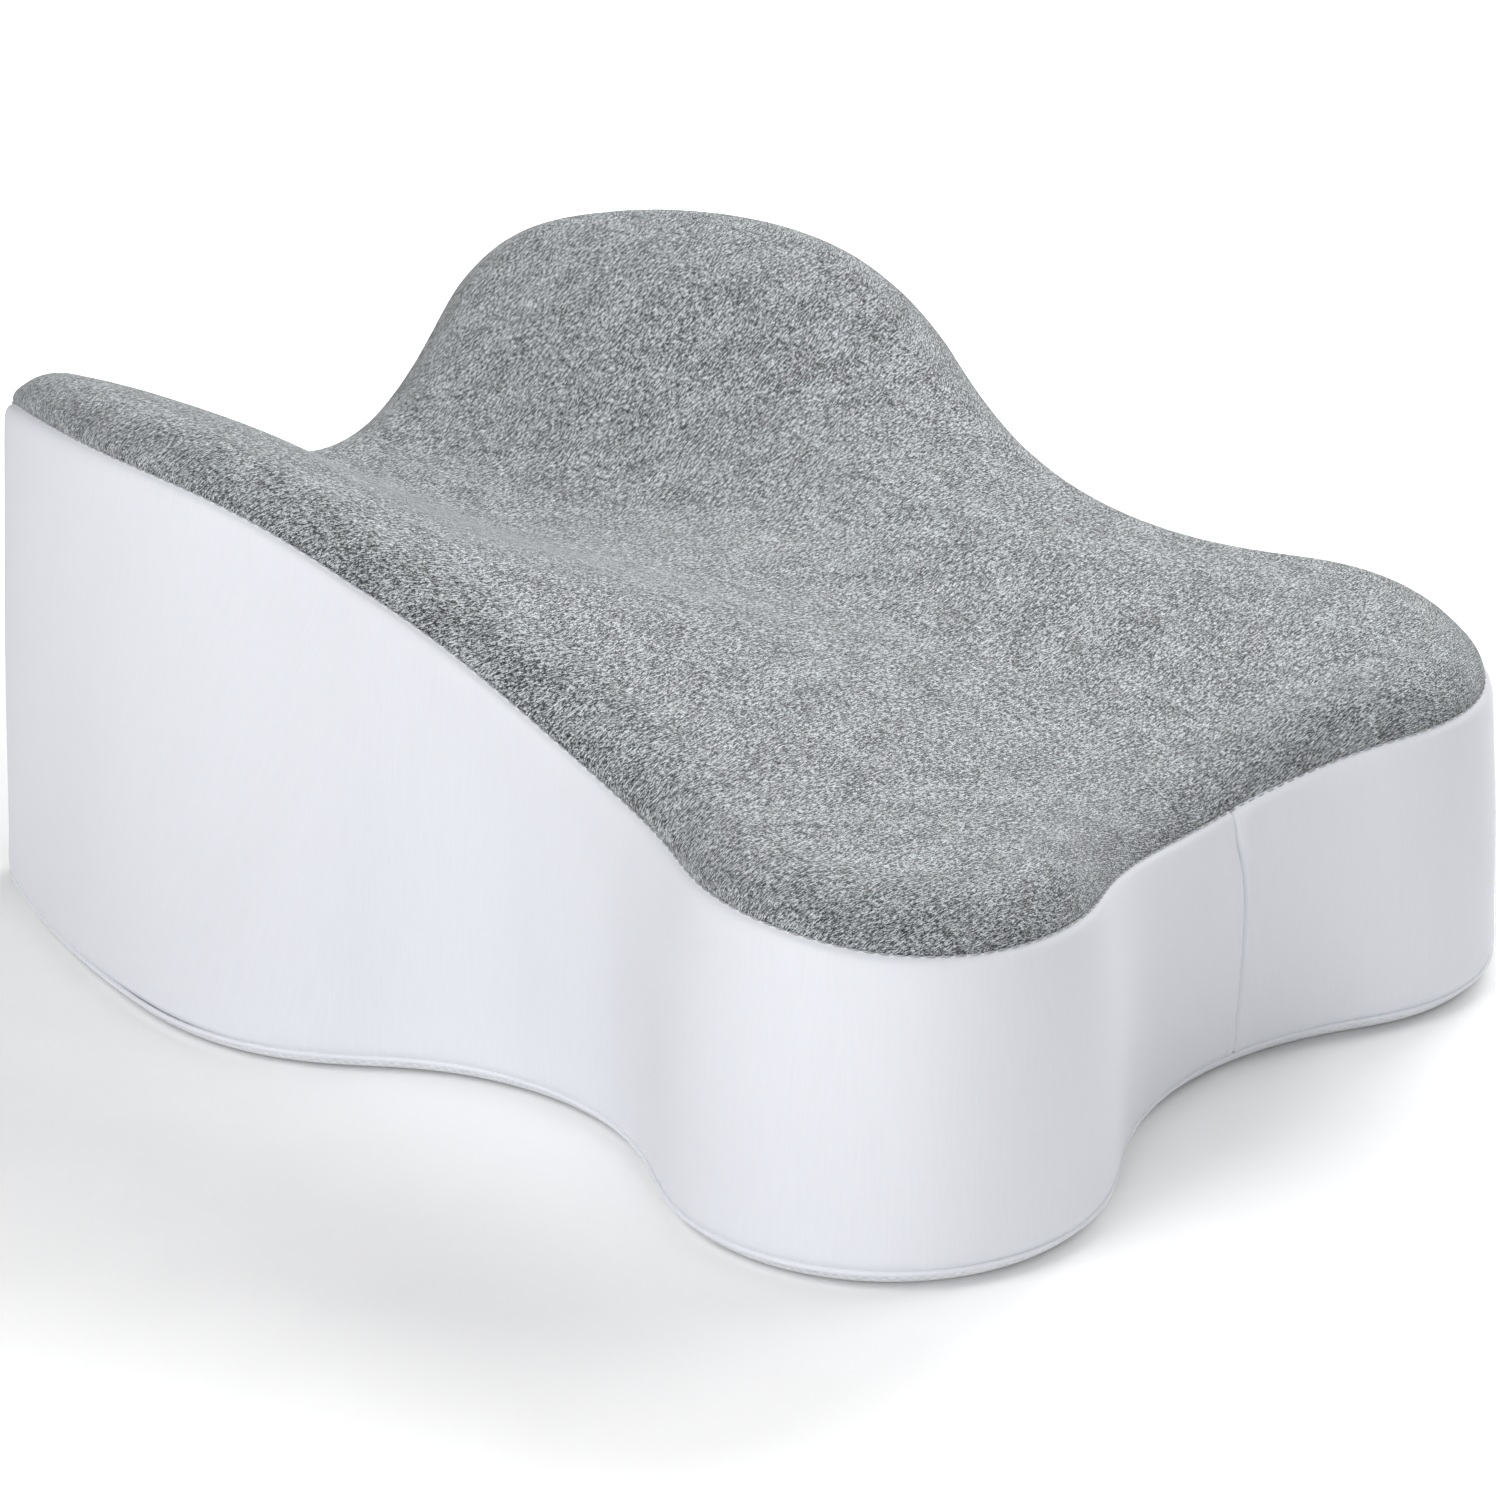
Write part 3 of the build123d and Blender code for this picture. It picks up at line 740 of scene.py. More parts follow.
def white_knit(name="white_knit", tone=(0.67, 0.683, 0.725)):
    """Smooth white elastic knit with a satin face and very fine upright ribs."""
    n = Nodes(name)
    cloth = n.cloth()
    x, y = n.axes(cloth)
    rib, loop = n.ribs(x, 0.55), n.ribs(y, 0.7)
    slub = n.noise(n.stretched(cloth, 1.6, 0.09), 1.0, 2.0, 0.55)
    pull = n.noise(n.stretched(cloth, 0.03, 0.012))
    low, high = grey(0.985, tone), grey(1.015, tone)
    colour = n.ramp(n.total((slub, 0.5), (pull, 0.5)), [(0.38, low), (0.62, high)])
    knit = n.total((slub, 1.2), (loop, 0.35), base=rib)
    return n.finish(colour, n.rough(slub, 0.46, 0.60), Normal=n.bump(knit, 0.05, 0.10), Sheen_Weight=0.18,
                    Sheen_Roughness=0.4, Specular_IOR_Level=0.35)


def plain_thread(name, tone):
    """Twisted sewing thread."""
    n = Nodes(name)
    place = n.solid()
    twist = n.waves(place, "DIAGONAL", Scale=0.6 / UNIT, Distortion=1.5, Detail=1.0)
    fibre = n.noise(place, 2.0 / UNIT)
    colour = n.ramp(n.total((twist, 0.6), (fibre, 0.4)), [(0.2, grey(0.7, tone)), (0.75, tone)])
    return n.finish(colour, n.rough(fibre, 0.5, 0.8), Normal=n.bump(twist, 0.6, 0.1), Sheen_Weight=0.2)


def foam():
    """Open-cell memory foam, slightly yellowed, with small pits."""
    n = Nodes("memory_foam")
    place = n.solid()
    cells = n.add("ShaderNodeTexVoronoi", Vector=place, Scale=0.9 / UNIT, Randomness=1.0).outputs["Distance"]
    pits = n.noise(place, 0.35 / UNIT, 3.0)
    slow = n.noise(place, 0.02 / UNIT)
    tone = n.total((cells, 0.5), (slow, 0.6))
    colour = n.ramp(tone, [(0.25, (0.66, 0.62, 0.50)), (0.7, (0.83, 0.80, 0.70))])
    height = n.total((pits, 0.5), base=cells)
    return n.finish(colour, n.rough(pits, 0.85, 1.0), Normal=n.bump(height, 0.6, 0.4), Subsurface_Weight=0.05,
                    Subsurface_Scale=0.002)


def liner_knit():
    """Thin white tricot with visible loops."""
    n = Nodes("liner_knit")
    cloth = n.cloth()
    loops = n.waves(cloth, "X", Scale=0.45, Distortion=2.0, Detail=1.0, Detail_Scale=1.5)
    rows = n.waves(cloth, "Y", Scale=0.35, Distortion=0.6)
    mesh = n.math("MULTIPLY", loops, rows)
    slow = n.noise(cloth, 0.05)
    colour = n.ramp(n.total((mesh, 0.6), (slow, 0.4)), [(0.1, (0.55, 0.56, 0.58)), (0.6, (0.84, 0.84, 0.85))])
    return n.finish(colour, n.span(mesh, 0, 1, 0.7, 0.9), Normal=n.bump(mesh, 0.5, 0.2), Sheen_Weight=0.2)


def base_knit():
    """Sturdy white base cloth with a fine diamond grip pattern."""
    n = Nodes("base_knit")
    cloth = n.cloth()
    turn = {"rotation_type": "Z_AXIS"}
    x, y = n.axes(n.add("ShaderNodeVectorRotate", turn, Vector=cloth, Angle=math.pi / 4).outputs[0])
    diamonds = n.math("MULTIPLY", n.ribs(x, 2.4), n.ribs(y, 2.4))
    yarn = n.noise(n.stretched(cloth, 2.2, 0.5))
    slow = n.noise(cloth, 0.03, 3.0)
    tone = n.total((diamonds, 0.10), (yarn, 0.35), (slow, 0.35))
    colour = n.ramp(tone, [(0.22, (0.60, 0.61, 0.64)), (0.48, (0.80, 0.81, 0.84))])
    height = n.total((yarn, 0.6), base=diamonds)
    return n.finish(colour, n.rough(yarn, 0.65, 0.85), Normal=n.bump(height, 0.45, 0.25), Sheen_Weight=0.15)


def zip_tape():
    """Woven tape: close herringbone ribs."""
    n = Nodes("zip_tape")
    place = n.solid()
    x, y = n.axes(place)
    rib = n.ribs(n.math("ADD", x, n.math("PINGPONG", y, 1.5 * UNIT)), 0.8 * UNIT)
    fibre = n.noise(place, 1.5 / UNIT)
    tone = n.total((rib, 0.15), (fibre, 0.5), base=0.2)
    colour = n.ramp(tone, [(0.2, (0.50, 0.51, 0.53)), (0.7, (0.78, 0.79, 0.81))])
    return n.finish(colour, n.rough(fibre, 0.7, 0.9), Normal=n.bump(rib, 0.5, 0.15), Sheen_Weight=0.2)


def zip_nylon():
    """Moulded white nylon with a dull skin."""
    n = Nodes("zip_nylon")
    place = n.solid()
    skin = n.noise(place, 0.8 / UNIT, 3.0)
    slow = n.noise(place, 0.05 / UNIT)
    colour = n.ramp(slow, [(0.35, (0.66, 0.67, 0.68)), (0.65, (0.80, 0.80, 0.80))])
    return n.finish(colour, n.rough(skin, 0.32, 0.5), Normal=n.bump(skin, 0.15, 0.1))


def zip_metal():
    """Nickel-plated slider and pull, brushed, with a painted highlight on their sharp edges."""
    n = Nodes("zip_metal")
    place = n.solid()
    brushed = n.noise(n.stretched(place, 0.3 / UNIT, 3.0 / UNIT, 3.0 / UNIT))
    scuffs = n.noise(place, 0.4 / UNIT, 4.0, 0.7)
    # painted highlight: sharp edges get a lighter metal colour, as if they caught the light
    edge_highlight = n.span(n.add("ShaderNodeNewGeometry").outputs["Pointiness"], 0.5, 0.56, 0, 1)
    plated = n.ramp(scuffs, [(0.35, (0.50, 0.51, 0.53)), (0.65, (0.66, 0.66, 0.67))])
    colour = n.mix("MIX", edge_highlight, plated, (0.80, 0.79, 0.77, 1))
    rough = n.math("ADD", n.rough(brushed, 0.22, 0.42), n.math("MULTIPLY", scuffs, 0.1))
    return n.finish(colour, rough, Metallic=1.0, Normal=n.bump(brushed, 0.2, 0.05))


MATERIALS = dict(
    heather_knit=heather_knit(),
    white_knit=white_knit(),
    base_knit=base_knit(),
    white_thread=plain_thread("white_thread", (0.80, 0.80, 0.82)),
    grey_thread=plain_thread("grey_thread", (0.42, 0.43, 0.45)),
    piping=white_knit("piping", (0.68, 0.692, 0.733)),
    memory_foam=foam(),
    liner_knit=liner_knit(),
    zip_tape=zip_tape(),
    zip_nylon=zip_nylon(),
    zip_metal=zip_metal(),
)


# ---------------------------------------------------------------- assembling pieces
def place(obj, slot, node):
    """Every piece made here belongs to the cushion and stands for one CAD node."""
    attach(obj, "cushion")
    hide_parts(node)


# ---------------------------------------------------------------- cover: base halves
TROUGH_RAMP = 7
SEWN_GAP = 0.35
WAIST_BEND, WAIST_REACH = 0.3, 60  # how far, and how near the zip line, the columns bend round the waist
HEM = ((0.15, 0.5), (0.5, COVER_T))  # the cut edge turns back and up by these steps
BASE_RIM = FOOT + FOOT_IN * BOTTOM_R  # where the rounded foot turns into the flat underside
ZIP_COLUMN = int(np.argmin(np.abs(BASE_RIM[:HALF, 1] - ZIP_Y)))  # where the zip line meets the edge
ZIP_END_X, ZIP_END_Y = BASE_RIM[ZIP_COLUMN]


def zip_line(x):
    """Y of the line where the base halves meet: straight along the zip, then out to its column's end."""
    beyond = (np.abs(x) - SLOT_X - 3) / (ZIP_END_X - SLOT_X - 3)
    return ZIP_Y + (ZIP_END_Y - ZIP_Y) * smooth_step(beyond)


def trough_rise(xy, trough):
    """How high the underside lies above its flat: only over the zip."""
    across = (trough["foot"] - np.abs(xy[..., 1] - ZIP_Y)) / (trough["foot"] - trough["roof"])
    along = (trough["half_length"] + 1 - np.abs(xy[..., 0])) / TROUGH_RAMP
    return trough["depth"] * smooth_step(across) * smooth_step(along)


def base_rounding(rows):
    """Depth, height and arc length of each row of the rounded foot, from the piping down to the underside."""
    first = math.asin((BOTTOM_R - PIPING_Z + PIPING_R * 0.7) / BOTTOM_R)
    return [(BOTTOM_R * (1 - math.cos(a)), BOTTOM_R * (1 - math.sin(a)), BOTTOM_R * (math.pi / 2 - a))
            for a in np.linspace(first, math.pi / 2, rows)]


def base_half(name, side):
    """One half of the base: -1 is the front half, 1 the rear half. It ends at the zip opening."""
    if side < 0:
        columns = list(range(COLUMNS - ZIP_COLUMN, COLUMNS)) + list(range(0, ZIP_COLUMN + 1))
    else:
        columns = list(range(ZIP_COLUMN, COLUMNS - ZIP_COLUMN + 1))
    foot, into = FOOT[columns], FOOT_IN[columns]
    rim = BASE_RIM[columns]
    run = run_along(foot)
    x = rim[0, 0] + (rim[-1, 0] - rim[0, 0]) * run / run[-1]
    sewn_gap = SEWN_GAP * np.clip((ZIP_END_X - np.abs(x)) / 2, 0, 1)
    opening = sewn_gap + (SLOT_Y - sewn_gap) * smooth_step((SLOT_X + 1.5 - np.abs(x)) / 3)
    edge = np.c_[x, zip_line(x) + side * opening]
    rows, weave = [], []

    def add_row(plan, height, cloth):
        rows.append(np.c_[plan, np.broadcast_to(height, len(plan))])
        weave.append(cloth)

    rounding = base_rounding(9)
    first_depth, first_height, first_arc = rounding[0]
    add_row(foot + into * (first_depth + 1.0), first_height + 0.4, rim - into * (first_arc + 1))
    for depth, height, arc in rounding:
        add_row(foot + into * depth, height, rim - into * arc)
    middle = (rim + edge) / 2
    middle[:, 0] *= 1 - WAIST_BEND * (1 - bell(rim[:, 1] - ZIP_Y, WAIST_REACH))
    for u in np.arange(1, 33) / 32:
        share = 1 - (1 - u) ** 2
        plan = (1 - share) ** 2 * rim + 2 * share * (1 - share) * middle + share**2 * edge
        add_row(plan, trough_rise(plan, TROUGH), plan)
    for back, up in HEM:
        plan = edge + np.array([0, side * back])
        add_row(plan, trough_rise(edge, TROUGH) + up, plan)
    return make_object(name, np.concatenate(rows), grid_faces(len(rows), len(columns), False, flip=True),
                       MATERIALS["base_knit"], np.concatenate(weave))


# ---------------------------------------------------------------- tubes, stitches and strips
def tube_rings(path, normal, binormal, radii, sides):
    """Rings of points round a path. radii is one radius for each path point."""
    angles = (np.arange(sides) * 2 * math.pi / sides)[None, :, None]
    ring = np.cos(angles) * normal[:, None, :] + np.sin(angles) * binormal[:, None, :]
    return path[:, None, :] + ring * np.asarray(radii)[:, None, None]


def build_piping():
    sides = 10
    up = np.tile([0.0, 0.0, 1.0], (COLUMNS, 1))
    out = np.c_[FOOT_IN, blank(0)]
    path = np.c_[FOOT + FOOT_IN * 0.8, blank(PIPING_Z)]
    rings = tube_rings(path, out, up, blank(PIPING_R), sides)
    faces = []
    for c in range(COLUMNS):
        n = (c + 1) % COLUMNS
        for k in range(sides):
            m = (k + 1) % sides
            faces.append((c * sides + k, c * sides + m, n * sides + m, n * sides + k))
    side_width = 0.56
    weave = np.stack([np.repeat(ALONG, sides), np.tile(np.arange(sides) * side_width, COLUMNS)], -1)
    obj = make_object("base_piping_cord", rings.reshape(-1, 3), faces, MATERIALS["piping"], weave)
    place(obj, "piping", "base_piping")


STITCH_SHAPE = ((-0.5, 0.3, -1.0), (-0.42, 0.8, -0.2), (-0.2, 1.0, 0.25), (0.2, 1.0, 0.25), (0.42, 0.8, -0.2),
                (0.5, 0.3, -1.0))  # place along the stitch, thickness and lift, in shares


def build_stitches(name, centres, directions, normals, material, length, radius):
    """One object of many sewn stitches: short threads that dive into the cloth at both ends."""
    sides = 6
    shape = np.array(STITCH_SHAPE)
    count = len(shape)
    points, faces = [], []
    for centre, along, normal in zip(centres, directions, normals):
        along = along / np.linalg.norm(along)
        normal = normal / np.linalg.norm(normal)
        path = centre + np.outer(shape[:, 0] * length, along) + np.outer(shape[:, 2] * radius, normal)
        up, across = (np.tile(axis, (count, 1)) for axis in (normal, np.cross(along, normal)))
        rings = tube_rings(path, up, across, shape[:, 1] * radius, sides)
        start = len(points) * count * sides
        points.append(rings.reshape(-1, 3))
        for r in range(count - 1):
            for k in range(sides):
                m = (k + 1) % sides
                faces.append((start + r * sides + k, start + (r + 1) * sides + k,
                              start + (r + 1) * sides + m, start + r * sides + m))
        faces.append(tuple(start + k for k in range(sides)))
        faces.append(tuple(start + (count - 1) * sides + k for k in reversed(range(sides))))
    return make_object(name, np.concatenate(points), faces, material)


def every(path, closed, pitch):
    """Centres and directions at an even pitch along a path."""
    path = np.concatenate([path, path[:1]]) if closed else path
    run = np.r_[0, np.cumsum(np.linalg.norm(np.diff(path, axis=0), axis=1))]
    count = int(run[-1] / pitch)
    at = (np.arange(count) + 0.5) * run[-1] / count
    centre, ahead, behind = (sample_path(path, run, at + step) for step in (0, 0.2, -0.2))
    return centre, ahead - behind, at / run[-1]


def sample_path(path, run, at):
    return np.stack([np.interp(at, run, path[:, k]) for k in range(3)], -1)


def loop_normals(outward, share):
    """Normals at some shares of the way round a closed row of columns."""
    return sample_path(np.concatenate([outward, outward[:1]]), np.linspace(0, 1, COLUMNS + 1), share)


def build_seam_stitches():
    outward = np.c_[-SEAM_IN * math.cos(SEAM_ANGLE), blank(math.sin(SEAM_ANGLE))]
    sunk = section_row(SEAM_ARC) - outward * 0.55
    centres, directions, share = every(sunk, True, STITCH_PITCH)
    obj = build_stitches("top_seam_stitches", centres, directions, loop_normals(outward, share),
                         MATERIALS["grey_thread"], **TOP_STITCH)
    place(obj, "liner_thread", "top_seam_thread")
    for name, column, node in (("front_seam_stitches", 0, "front_seam_thread"),
                               ("rear_seam_stitches", HALF, "rear_seam_thread")):
        rise = np.arange(BOTTOM_R, WALL_TOP[column], 1.0)
        plan = FOOT[column] + np.outer(rise / WALL_TOP[column], SEAM[column] - FOOT[column])
        path = np.c_[plan + FOOT_IN[column] * 0.9, rise]
        centres, directions, _ = every(path, False, STITCH_PITCH)
        normals = np.tile([*-FOOT_IN[column], 0.0], (len(centres), 1))
        obj = build_stitches(name, centres, directions, normals, MATERIALS["white_thread"], **UPRIGHT_STITCH)
        place(obj, "white_thread", node)


def sew_below(name, centres, node, stitch):
    """Stitches along X that show on the underside."""
    along, down = (np.tile(axis, (len(centres), 1)) for axis in ([1.0, 0, 0], [0, 0, -1.0]))
    obj = build_stitches(name, centres, along, down, MATERIALS["white_thread"], **stitch)
    place(obj, "white_thread", node)


def build_base_stitches():
    """Thread that joins the base halves beyond both ends of the zip, and the lines beside the zip."""
    centres = []
    for side in (-1, 1):
        for x in np.arange(SLOT_X + 3, ZIP_END_X, STITCH_PITCH):
            point = np.array([side * x, zip_line(x)])
            centres.append([*point, trough_rise(point, TROUGH) + 0.35])
    sew_below("base_end_stitches", np.array(centres), "base_end_seams", END_STITCH)
    low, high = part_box("zip_stitching")
    half = ZIP_STITCH["length"] / 2
    xs = np.linspace(low.x / UNIT + half, high.x / UNIT - half, 56)
    ys = (low.y / UNIT + 0.25, high.y / UNIT - 0.25)
    centres = np.array([(x, y, TROUGH["depth"] - 0.12) for y in ys for x in xs])
    sew_below("zip_side_stitches", centres, "zip_stitching", ZIP_STITCH)


TAPE_TAIL = 3.0  # each tape runs on under the base cloth past both ends of the opening


def build_tape(name, node, coil_side):
    """Woven tape with rounded edges, a bead beside the coil and a slight wave along its length."""
    low, high = (np.array(corner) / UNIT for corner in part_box(node))
    xs = np.linspace(low[0] - TAPE_TAIL, high[0] + TAPE_TAIL, 124)
    middle_y, half_w = (low[1] + high[1]) / 2, (high[1] - low[1]) / 2
    middle_z, half_t = (low[2] + high[2]) / 2, (high[2] - low[2]) / 2
    steps = np.linspace(-1, 1, 13)
    bead = 0.25 * bell((steps * coil_side - 0.8) * half_w, 1.0)
    top = np.c_[steps * half_w, half_t * np.sqrt(1 - steps**6) + bead * 0.2]
    bottom = top[::-1] * [1, -1]
    profile = np.concatenate([top, bottom[1:-1]])
    points, weave = [], []
    for x in xs:
        wave = 0.06 * math.sin(x / 7.0 + coil_side) + 0.05 * math.sin(x / 17.0)
        station = np.full(len(profile), x)
        points.append(np.c_[station, middle_y + profile[:, 0], middle_z + wave + profile[:, 1]])
        weave.append(np.c_[station, profile[:, 0]])
    sides = len(profile)
    faces = grid_faces(len(xs), sides, True, flip=True)
    faces.append(tuple(range(sides)))
    faces.append(tuple((len(xs) - 1) * sides + k for k in reversed(range(sides))))
    obj = make_object(name, np.concatenate(points), faces, MATERIALS["zip_tape"], np.concatenate(weave))
    place(obj, "zip_tape", node)


def build_coil(name, node, phase):
    """Nylon coil: one wire wound along the tape's edge, with the sewn cord through its middle."""
    low, high = (np.array(corner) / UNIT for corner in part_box(node))
    wire, pitch = 0.34, 2.0
    middle = (low + high) / 2
    half = (high - low) / 2 - wire
    turns = int((high[0] - low[0] - 2 * wire) / pitch)
    start_x = middle[0] - turns * pitch / 2
    angles = np.linspace(0, 2 * math.pi * turns, 16 * turns + 1)
    path = np.c_[start_x + angles / (2 * math.pi) * pitch,
                 middle[1] + half[1] * np.cos(angles + phase), middle[2] + half[2] * np.sin(angles + phase)]
    ahead = np.gradient(path, axis=0)
    ahead /= np.linalg.norm(ahead, axis=1, keepdims=True)
    out = np.c_[np.zeros(len(path)), np.cos(angles + phase), np.sin(angles + phase)]
    out -= ahead * (out * ahead).sum(1, keepdims=True)
    out /= np.linalg.norm(out, axis=1, keepdims=True)
    sides = 6
    rings = tube_rings(path, out, np.cross(ahead, out), np.full(len(path), wire), sides)
    faces = grid_faces(len(path), sides, True)
    faces.append(tuple(reversed(range(sides))))
    faces.append(tuple((len(path) - 1) * sides + k for k in range(sides)))
    points = rings.reshape(-1, 3)
    stations, cord_radius, cord_sides = 60, 0.3, 8
    cord = np.tile(middle, (stations, 1))
    cord[:, 0] = np.linspace(path[0, 0], path[-1, 0], stations)
    axis_y, axis_z = (np.tile(axis, (stations, 1)) for axis in ([0, 1.0, 0], [0, 0, 1.0]))
    cord_rings = tube_rings(cord, axis_y, axis_z, np.full(stations, cord_radius), cord_sides)
    faces += grid_faces(stations, cord_sides, True, offset=len(points))
    points = np.concatenate([points, cord_rings.reshape(-1, 3)])
    obj = make_object(name, points, faces, MATERIALS["zip_nylon"])
    place(obj, "zip_nylon", node)


# ---------------------------------------------------------------- liner and foam
def core_rows(inset, trough):
    """Rows of a closed skin at some depth under the cover: underside, foot, wall, rounding, top."""
    rows, weave = [], []
    spine = spine_points()
    for t in np.arange(20, 0, -1) / 20:
        plan = BASE_RIM + (spine - BASE_RIM) * t
        rows.append(np.c_[plan, inset + trough_rise(plan, trough)])
        weave.append(plan)
    radius = BOTTOM_R - inset
    for angle in np.linspace(math.pi / 2, 0, 6):
        depth, height = inset + radius * (1 - math.cos(angle)), inset + radius * (1 - math.sin(angle))
        rows.append(np.c_[FOOT + FOOT_IN * depth, blank(height)])
        weave.append(np.c_[ALONG, blank(height)])
    seam_rise = blank(LINER_SEAM_Z)
    for t in np.arange(12) / 12:
        rise = seam_rise + (WALL_TOP - seam_rise) * t
        rows.append(wall_point(rise / WALL_TOP, rise, blank(inset)))
        weave.append(np.c_[ALONG, rise])
    top = top_grid(inset, 0.0, 20)
    return rows + top.points, weave + top.weave


def closed_skin(name, rows, weave, material, closed_below, closed_above):
    """Mesh of skin rows. A closed end shares the points of its middle line."""
    twins = {}
    for closed, row in ((closed_below, 0), (closed_above, len(rows) - 1)):
        if closed:
            twins.update(middle_line(row * COLUMNS, COLUMNS))
    faces = merged(grid_faces(len(rows), COLUMNS, True), twins)
    return make_object(name, np.concatenate(rows), faces, material, np.concatenate(weave))


LINER_SPLIT = 26  # rows under the liner's seam


def build_liner():
    rows, weave = core_rows(LINER_IN, LINER_TROUGH)
    knit = MATERIALS["liner_knit"]
    below, above = slice(None, LINER_SPLIT + 1), slice(LINER_SPLIT, None)
    base = closed_skin("liner_base_knit", rows[below], weave[below], knit, True, False)
    place(base, "liner_knit", "liner_base")
    upper = closed_skin("liner_upper_knit", rows[above], weave[above], knit, False, True)
    place(upper, "liner_knit", "liner_upper")
    outward = np.c_[-FOOT_IN, blank(0)]
    centres, directions, share = every(rows[LINER_SPLIT] + outward * 0.1, True, LINER_PITCH)
    stitches = build_stitches("liner_seam_stitches", centres, directions, loop_normals(outward, share),
                              MATERIALS["white_thread"], **LINER_STITCH)
    place(stitches, "liner_thread", "liner_seam")


def build_foam():
    rows, weave = core_rows(FOAM_IN, dict(LINER_TROUGH, depth=LINER_TROUGH["depth"] + FOAM_IN - LINER_IN))
    block = closed_skin("foam_block", rows, weave, MATERIALS["memory_foam"], True, True)
    place(block, "memory_foam", "foam_core")


def build_cover():
    walls = wall_grid()
    halves = (("right", list(range(0, HALF + 1))), ("left", list(range(HALF, COLUMNS)) + [0]))
    for side, columns in halves:
        panel = panel_from(walls, f"cover_side_{side}", columns, MATERIALS["white_knit"])
        place(panel, "white_knit", f"side_panel_{side}")
    place(closed_top(top_grid(), "cover_top", MATERIALS["heather_knit"]), "heather_knit", "top_panel")
    for end, side in (("front", -1), ("rear", 1)):
        place(base_half(f"cover_base_{end}", side), "base_knit", f"base_panel_{end}")


build_foam()
build_liner()
build_cover()
build_piping()
build_seam_stitches()
build_base_stitches()
for end, coil_side in (("front", 1), ("rear", -1)):
    build_tape(f"zip_tape_{end}_weave", f"zip_tape_{end}", coil_side)
for end, phase in (("front", 0.0), ("rear", math.pi)):
    build_coil(f"zip_coil_{end}_wire", f"zip_coil_{end}", phase)

# ---------------------------------------------------------------- carried-over zip parts
for node in ("zip_top_stops", "zip_bottom_stop", "zip_slider", "zip_pull"):
    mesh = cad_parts[node].data
    mesh.materials.clear()
    mesh.materials.append(MATERIALS["zip_metal"])


# ---------------------------------------------------------------- floor, lights, camera
LENGTH = cad_high.y - cad_low.y  # of the pillow, in metres
FLOOR_FADE = (0.5, 1.7)  # pillow lengths over which the far floor turns as bright as the backdrop
FLOOR_SIZE = 12  # half the floor's width, in pillow lengths
FLOOR_DROP = 0.2


def make_floor():
    n = Nodes("floor_paper")
    where = n.solid()
    colour = n.ramp(n.noise(where, 60.0, 3.0), [(0.3, grey(0.96)), (0.7, grey(0.98))])
    far = n.add("ShaderNodeVectorMath", {"operation": "LENGTH"})
    n.set(far, 0, where)
    fade = n.add("ShaderNodeMapRange", {"interpolation_type": "SMOOTHSTEP"}, Value=far.outputs["Value"],
                 From_Min=FLOOR_FADE[0] * LENGTH, From_Max=FLOOR_FADE[1] * LENGTH)
    seen = n.add("ShaderNodeLightPath").outputs["Is Camera Ray"]
    glow = n.math("MULTIPLY", fade.outputs["Result"], seen)
    material = n.finish(colour, 0.9, Specular_IOR_Level=0.1, Emission_Color=(1, 1, 1, 1),
                        Emission_Strength=glow)
    size, level = FLOOR_SIZE * LENGTH, cad_low.z - FLOOR_DROP * UNIT
    mesh = bpy.data.meshes.new("floor")
    corners = ((-size, -size), (size, -size), (size, size), (-size, size))
    mesh.from_pydata([(x, y, level) for x, y in corners], [], [(0, 1, 2, 3)])
    mesh.materials.append(material)
    floor = bpy.data.objects.new("floor", mesh)
    bpy.context.scene.collection.objects.link(floor)
    driver = floor.driver_add("hide_render").driver
    driver.expression = "height < 0"
    return driver


def add_area(name, at, target, size, power):
    light = bpy.data.lights.new(name, "AREA")
    light.shape = "DISK"
    light.size = size
    light.energy = power
    obj = bpy.data.objects.new(name, light)
    obj.location = at
    obj.rotation_euler = (Vector(target) - Vector(at)).to_track_quat("-Z", "Y").to_euler()
    obj.visible_camera = False
    bpy.context.scene.collection.objects.link(obj)


LIGHTS = (  # name, direction and distance in pillow lengths, watts
    ("right_key", (6.0, 1.0, 4.0), 30),
    ("front_fill", (4.6, -2.9, 3.9), 14),
    ("left_fill", (-6.0, -0.7, 1.2), 8),
    ("camera_fill", (-4.1, -3.8, 2.0), 10),
    ("left_high", (-5.3, 1.0, 5.0), 20),
    ("overhead", (0, 0, 7.3), 5),
    ("underside_fill", (0.8, -1.6, -5.0), 14),  # the floor keeps this one from the views above it
)
LIGHT_SIZE = 4  # in pillow lengths
SKY_GLOW = 0.06  # light that the sky gives
BACKDROP_GLOW = 0.95  # how bright the sky looks behind the pillow


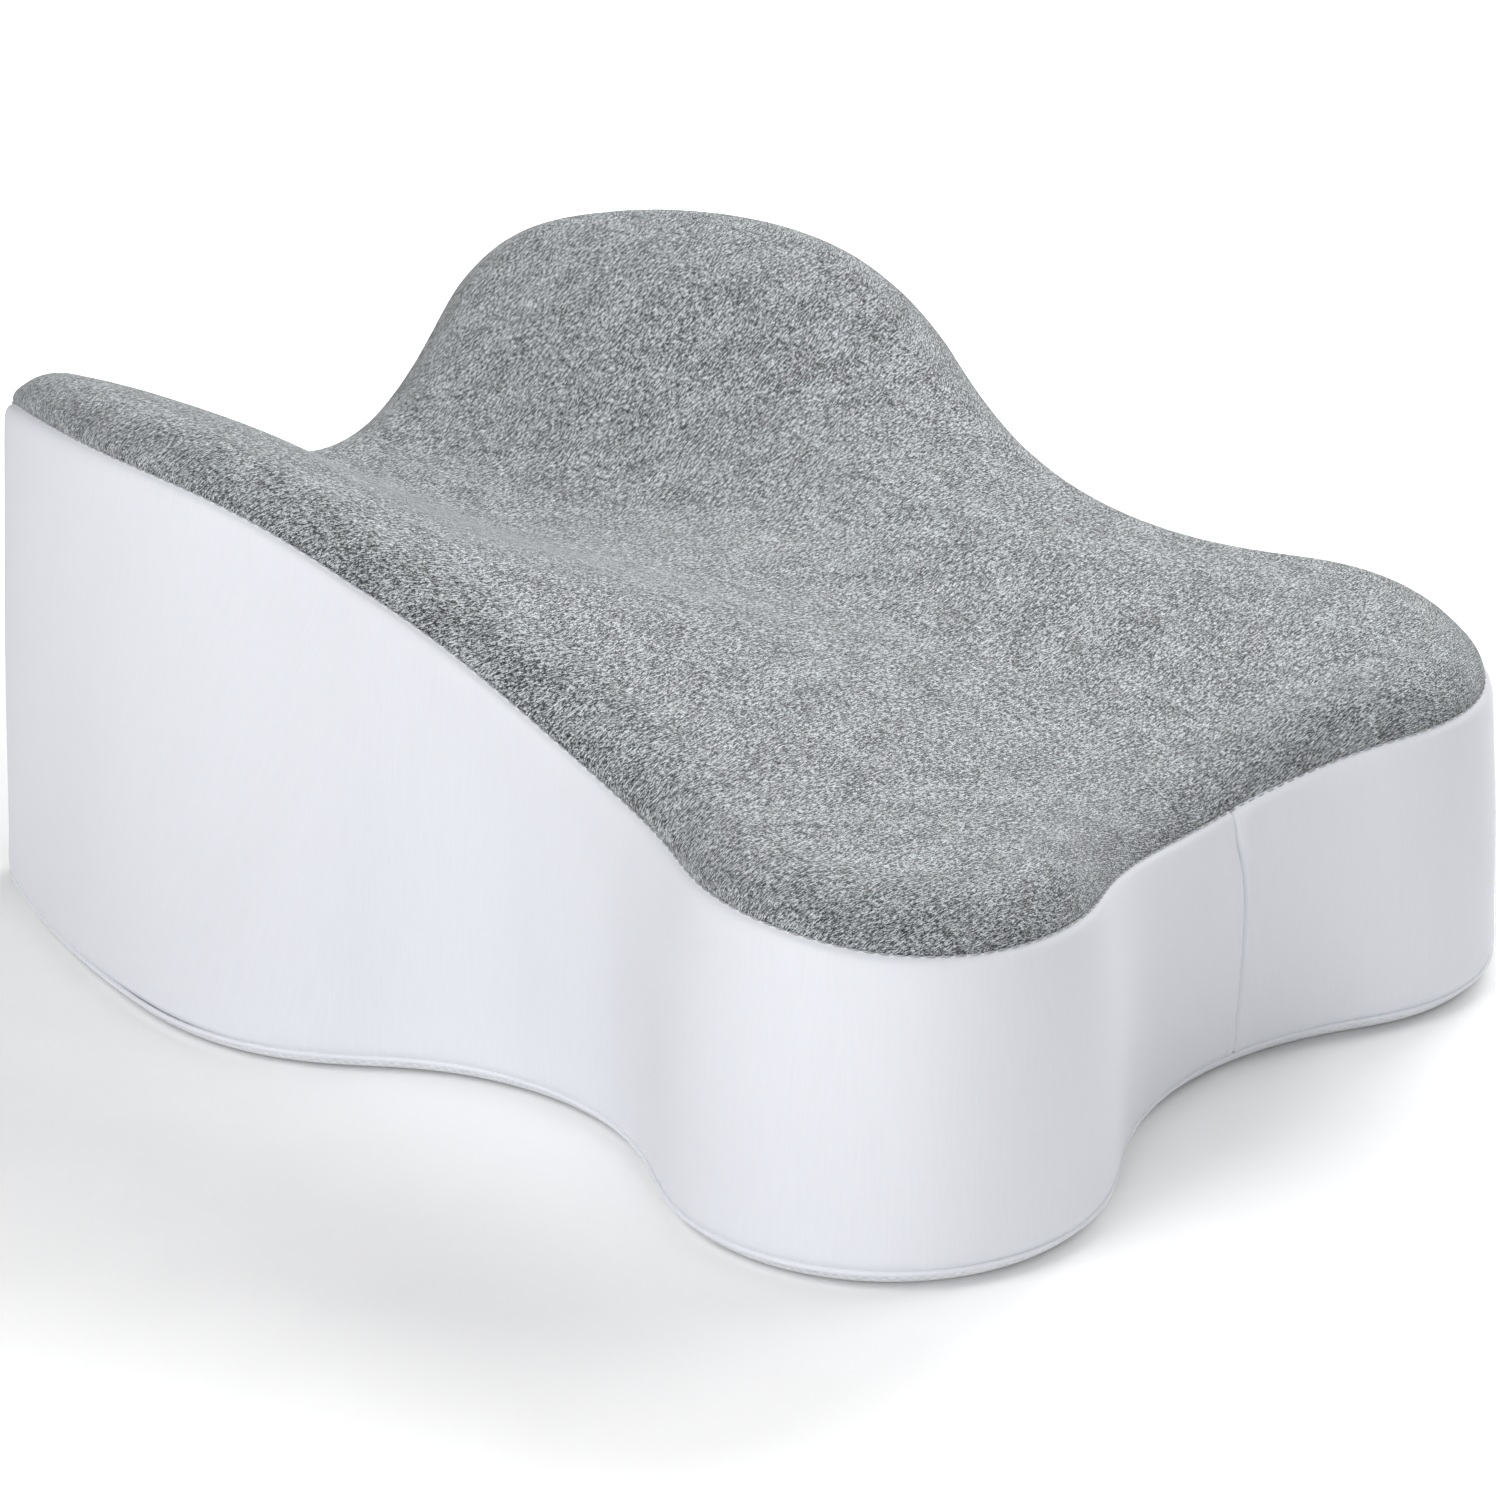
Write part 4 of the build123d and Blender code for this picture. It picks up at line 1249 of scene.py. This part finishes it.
def make_lights():
    """Large soft lights all round, brightest from the right, and a faint sky."""
    world = bpy.data.worlds.new("soft_box")
    world.use_nodes = True
    background = world.node_tree.nodes["Background"]
    background.inputs["Color"].default_value = (0.96, 0.98, 1.0, 1)
    seen = world.node_tree.nodes.new("ShaderNodeLightPath").outputs["Is Camera Ray"]
    strength = world.node_tree.nodes.new("ShaderNodeMath")
    strength.operation = "MULTIPLY_ADD"
    world.node_tree.links.new(seen, strength.inputs[0])
    strength.inputs[1].default_value = BACKDROP_GLOW - SKY_GLOW
    strength.inputs[2].default_value = SKY_GLOW
    world.node_tree.links.new(strength.outputs[0], background.inputs["Strength"])
    bpy.context.scene.world = world
    middle = (0, 0, cad_high.z / 2)
    for name, direction, power in LIGHTS:
        add_area(name, tuple(LENGTH * d for d in direction), middle, LIGHT_SIZE * LENGTH, power)


CAMERA_AZIMUTH, CAMERA_ELEVATION, CAMERA_DISTANCE = -50.2, 19.8, 1139
CAMERA_TARGET = (0, -7, 60)
SENSOR = 36
FOCAL_WIDTHS = 3.182  # focal length as a share of the image width
LENS_DROP = -1.1965  # the level lens is shifted down to the pillow


def make_camera():
    azimuth, elevation = math.radians(CAMERA_AZIMUTH), math.radians(CAMERA_ELEVATION)
    level = math.cos(elevation)
    back = np.array([math.sin(azimuth) * level, -math.cos(azimuth) * level, math.sin(elevation)])
    data = bpy.data.cameras.new("camera")
    data.sensor_width = SENSOR
    data.lens = SENSOR * FOCAL_WIDTHS
    camera = bpy.data.objects.new("camera", data)
    camera.location = (np.array(CAMERA_TARGET) + back * CAMERA_DISTANCE) * UNIT
    camera.rotation_euler = (math.pi / 2, 0, azimuth)
    bpy.context.scene.collection.objects.link(camera)
    bpy.context.scene.camera = camera
    return camera


def follow_height(driver, camera):
    """Gives a driver the camera's height."""
    height = driver.variables.new()
    height.name = "height"
    height.type = "TRANSFORMS"
    height.targets[0].id = camera
    height.targets[0].transform_type = "LOC_Z"


make_lights()
camera = make_camera()
follow_height(make_floor(), camera)  # the floor is left out of views from below
shift = camera.data.driver_add("shift_y").driver  # other views use the lens unshifted
follow_height(shift, camera)
shift.expression = f"{LENS_DROP:.4f} if abs(height - {camera.location.z:.5f}) < 0.001 else 0.0"
bpy.context.scene.view_settings.view_transform = "Standard"
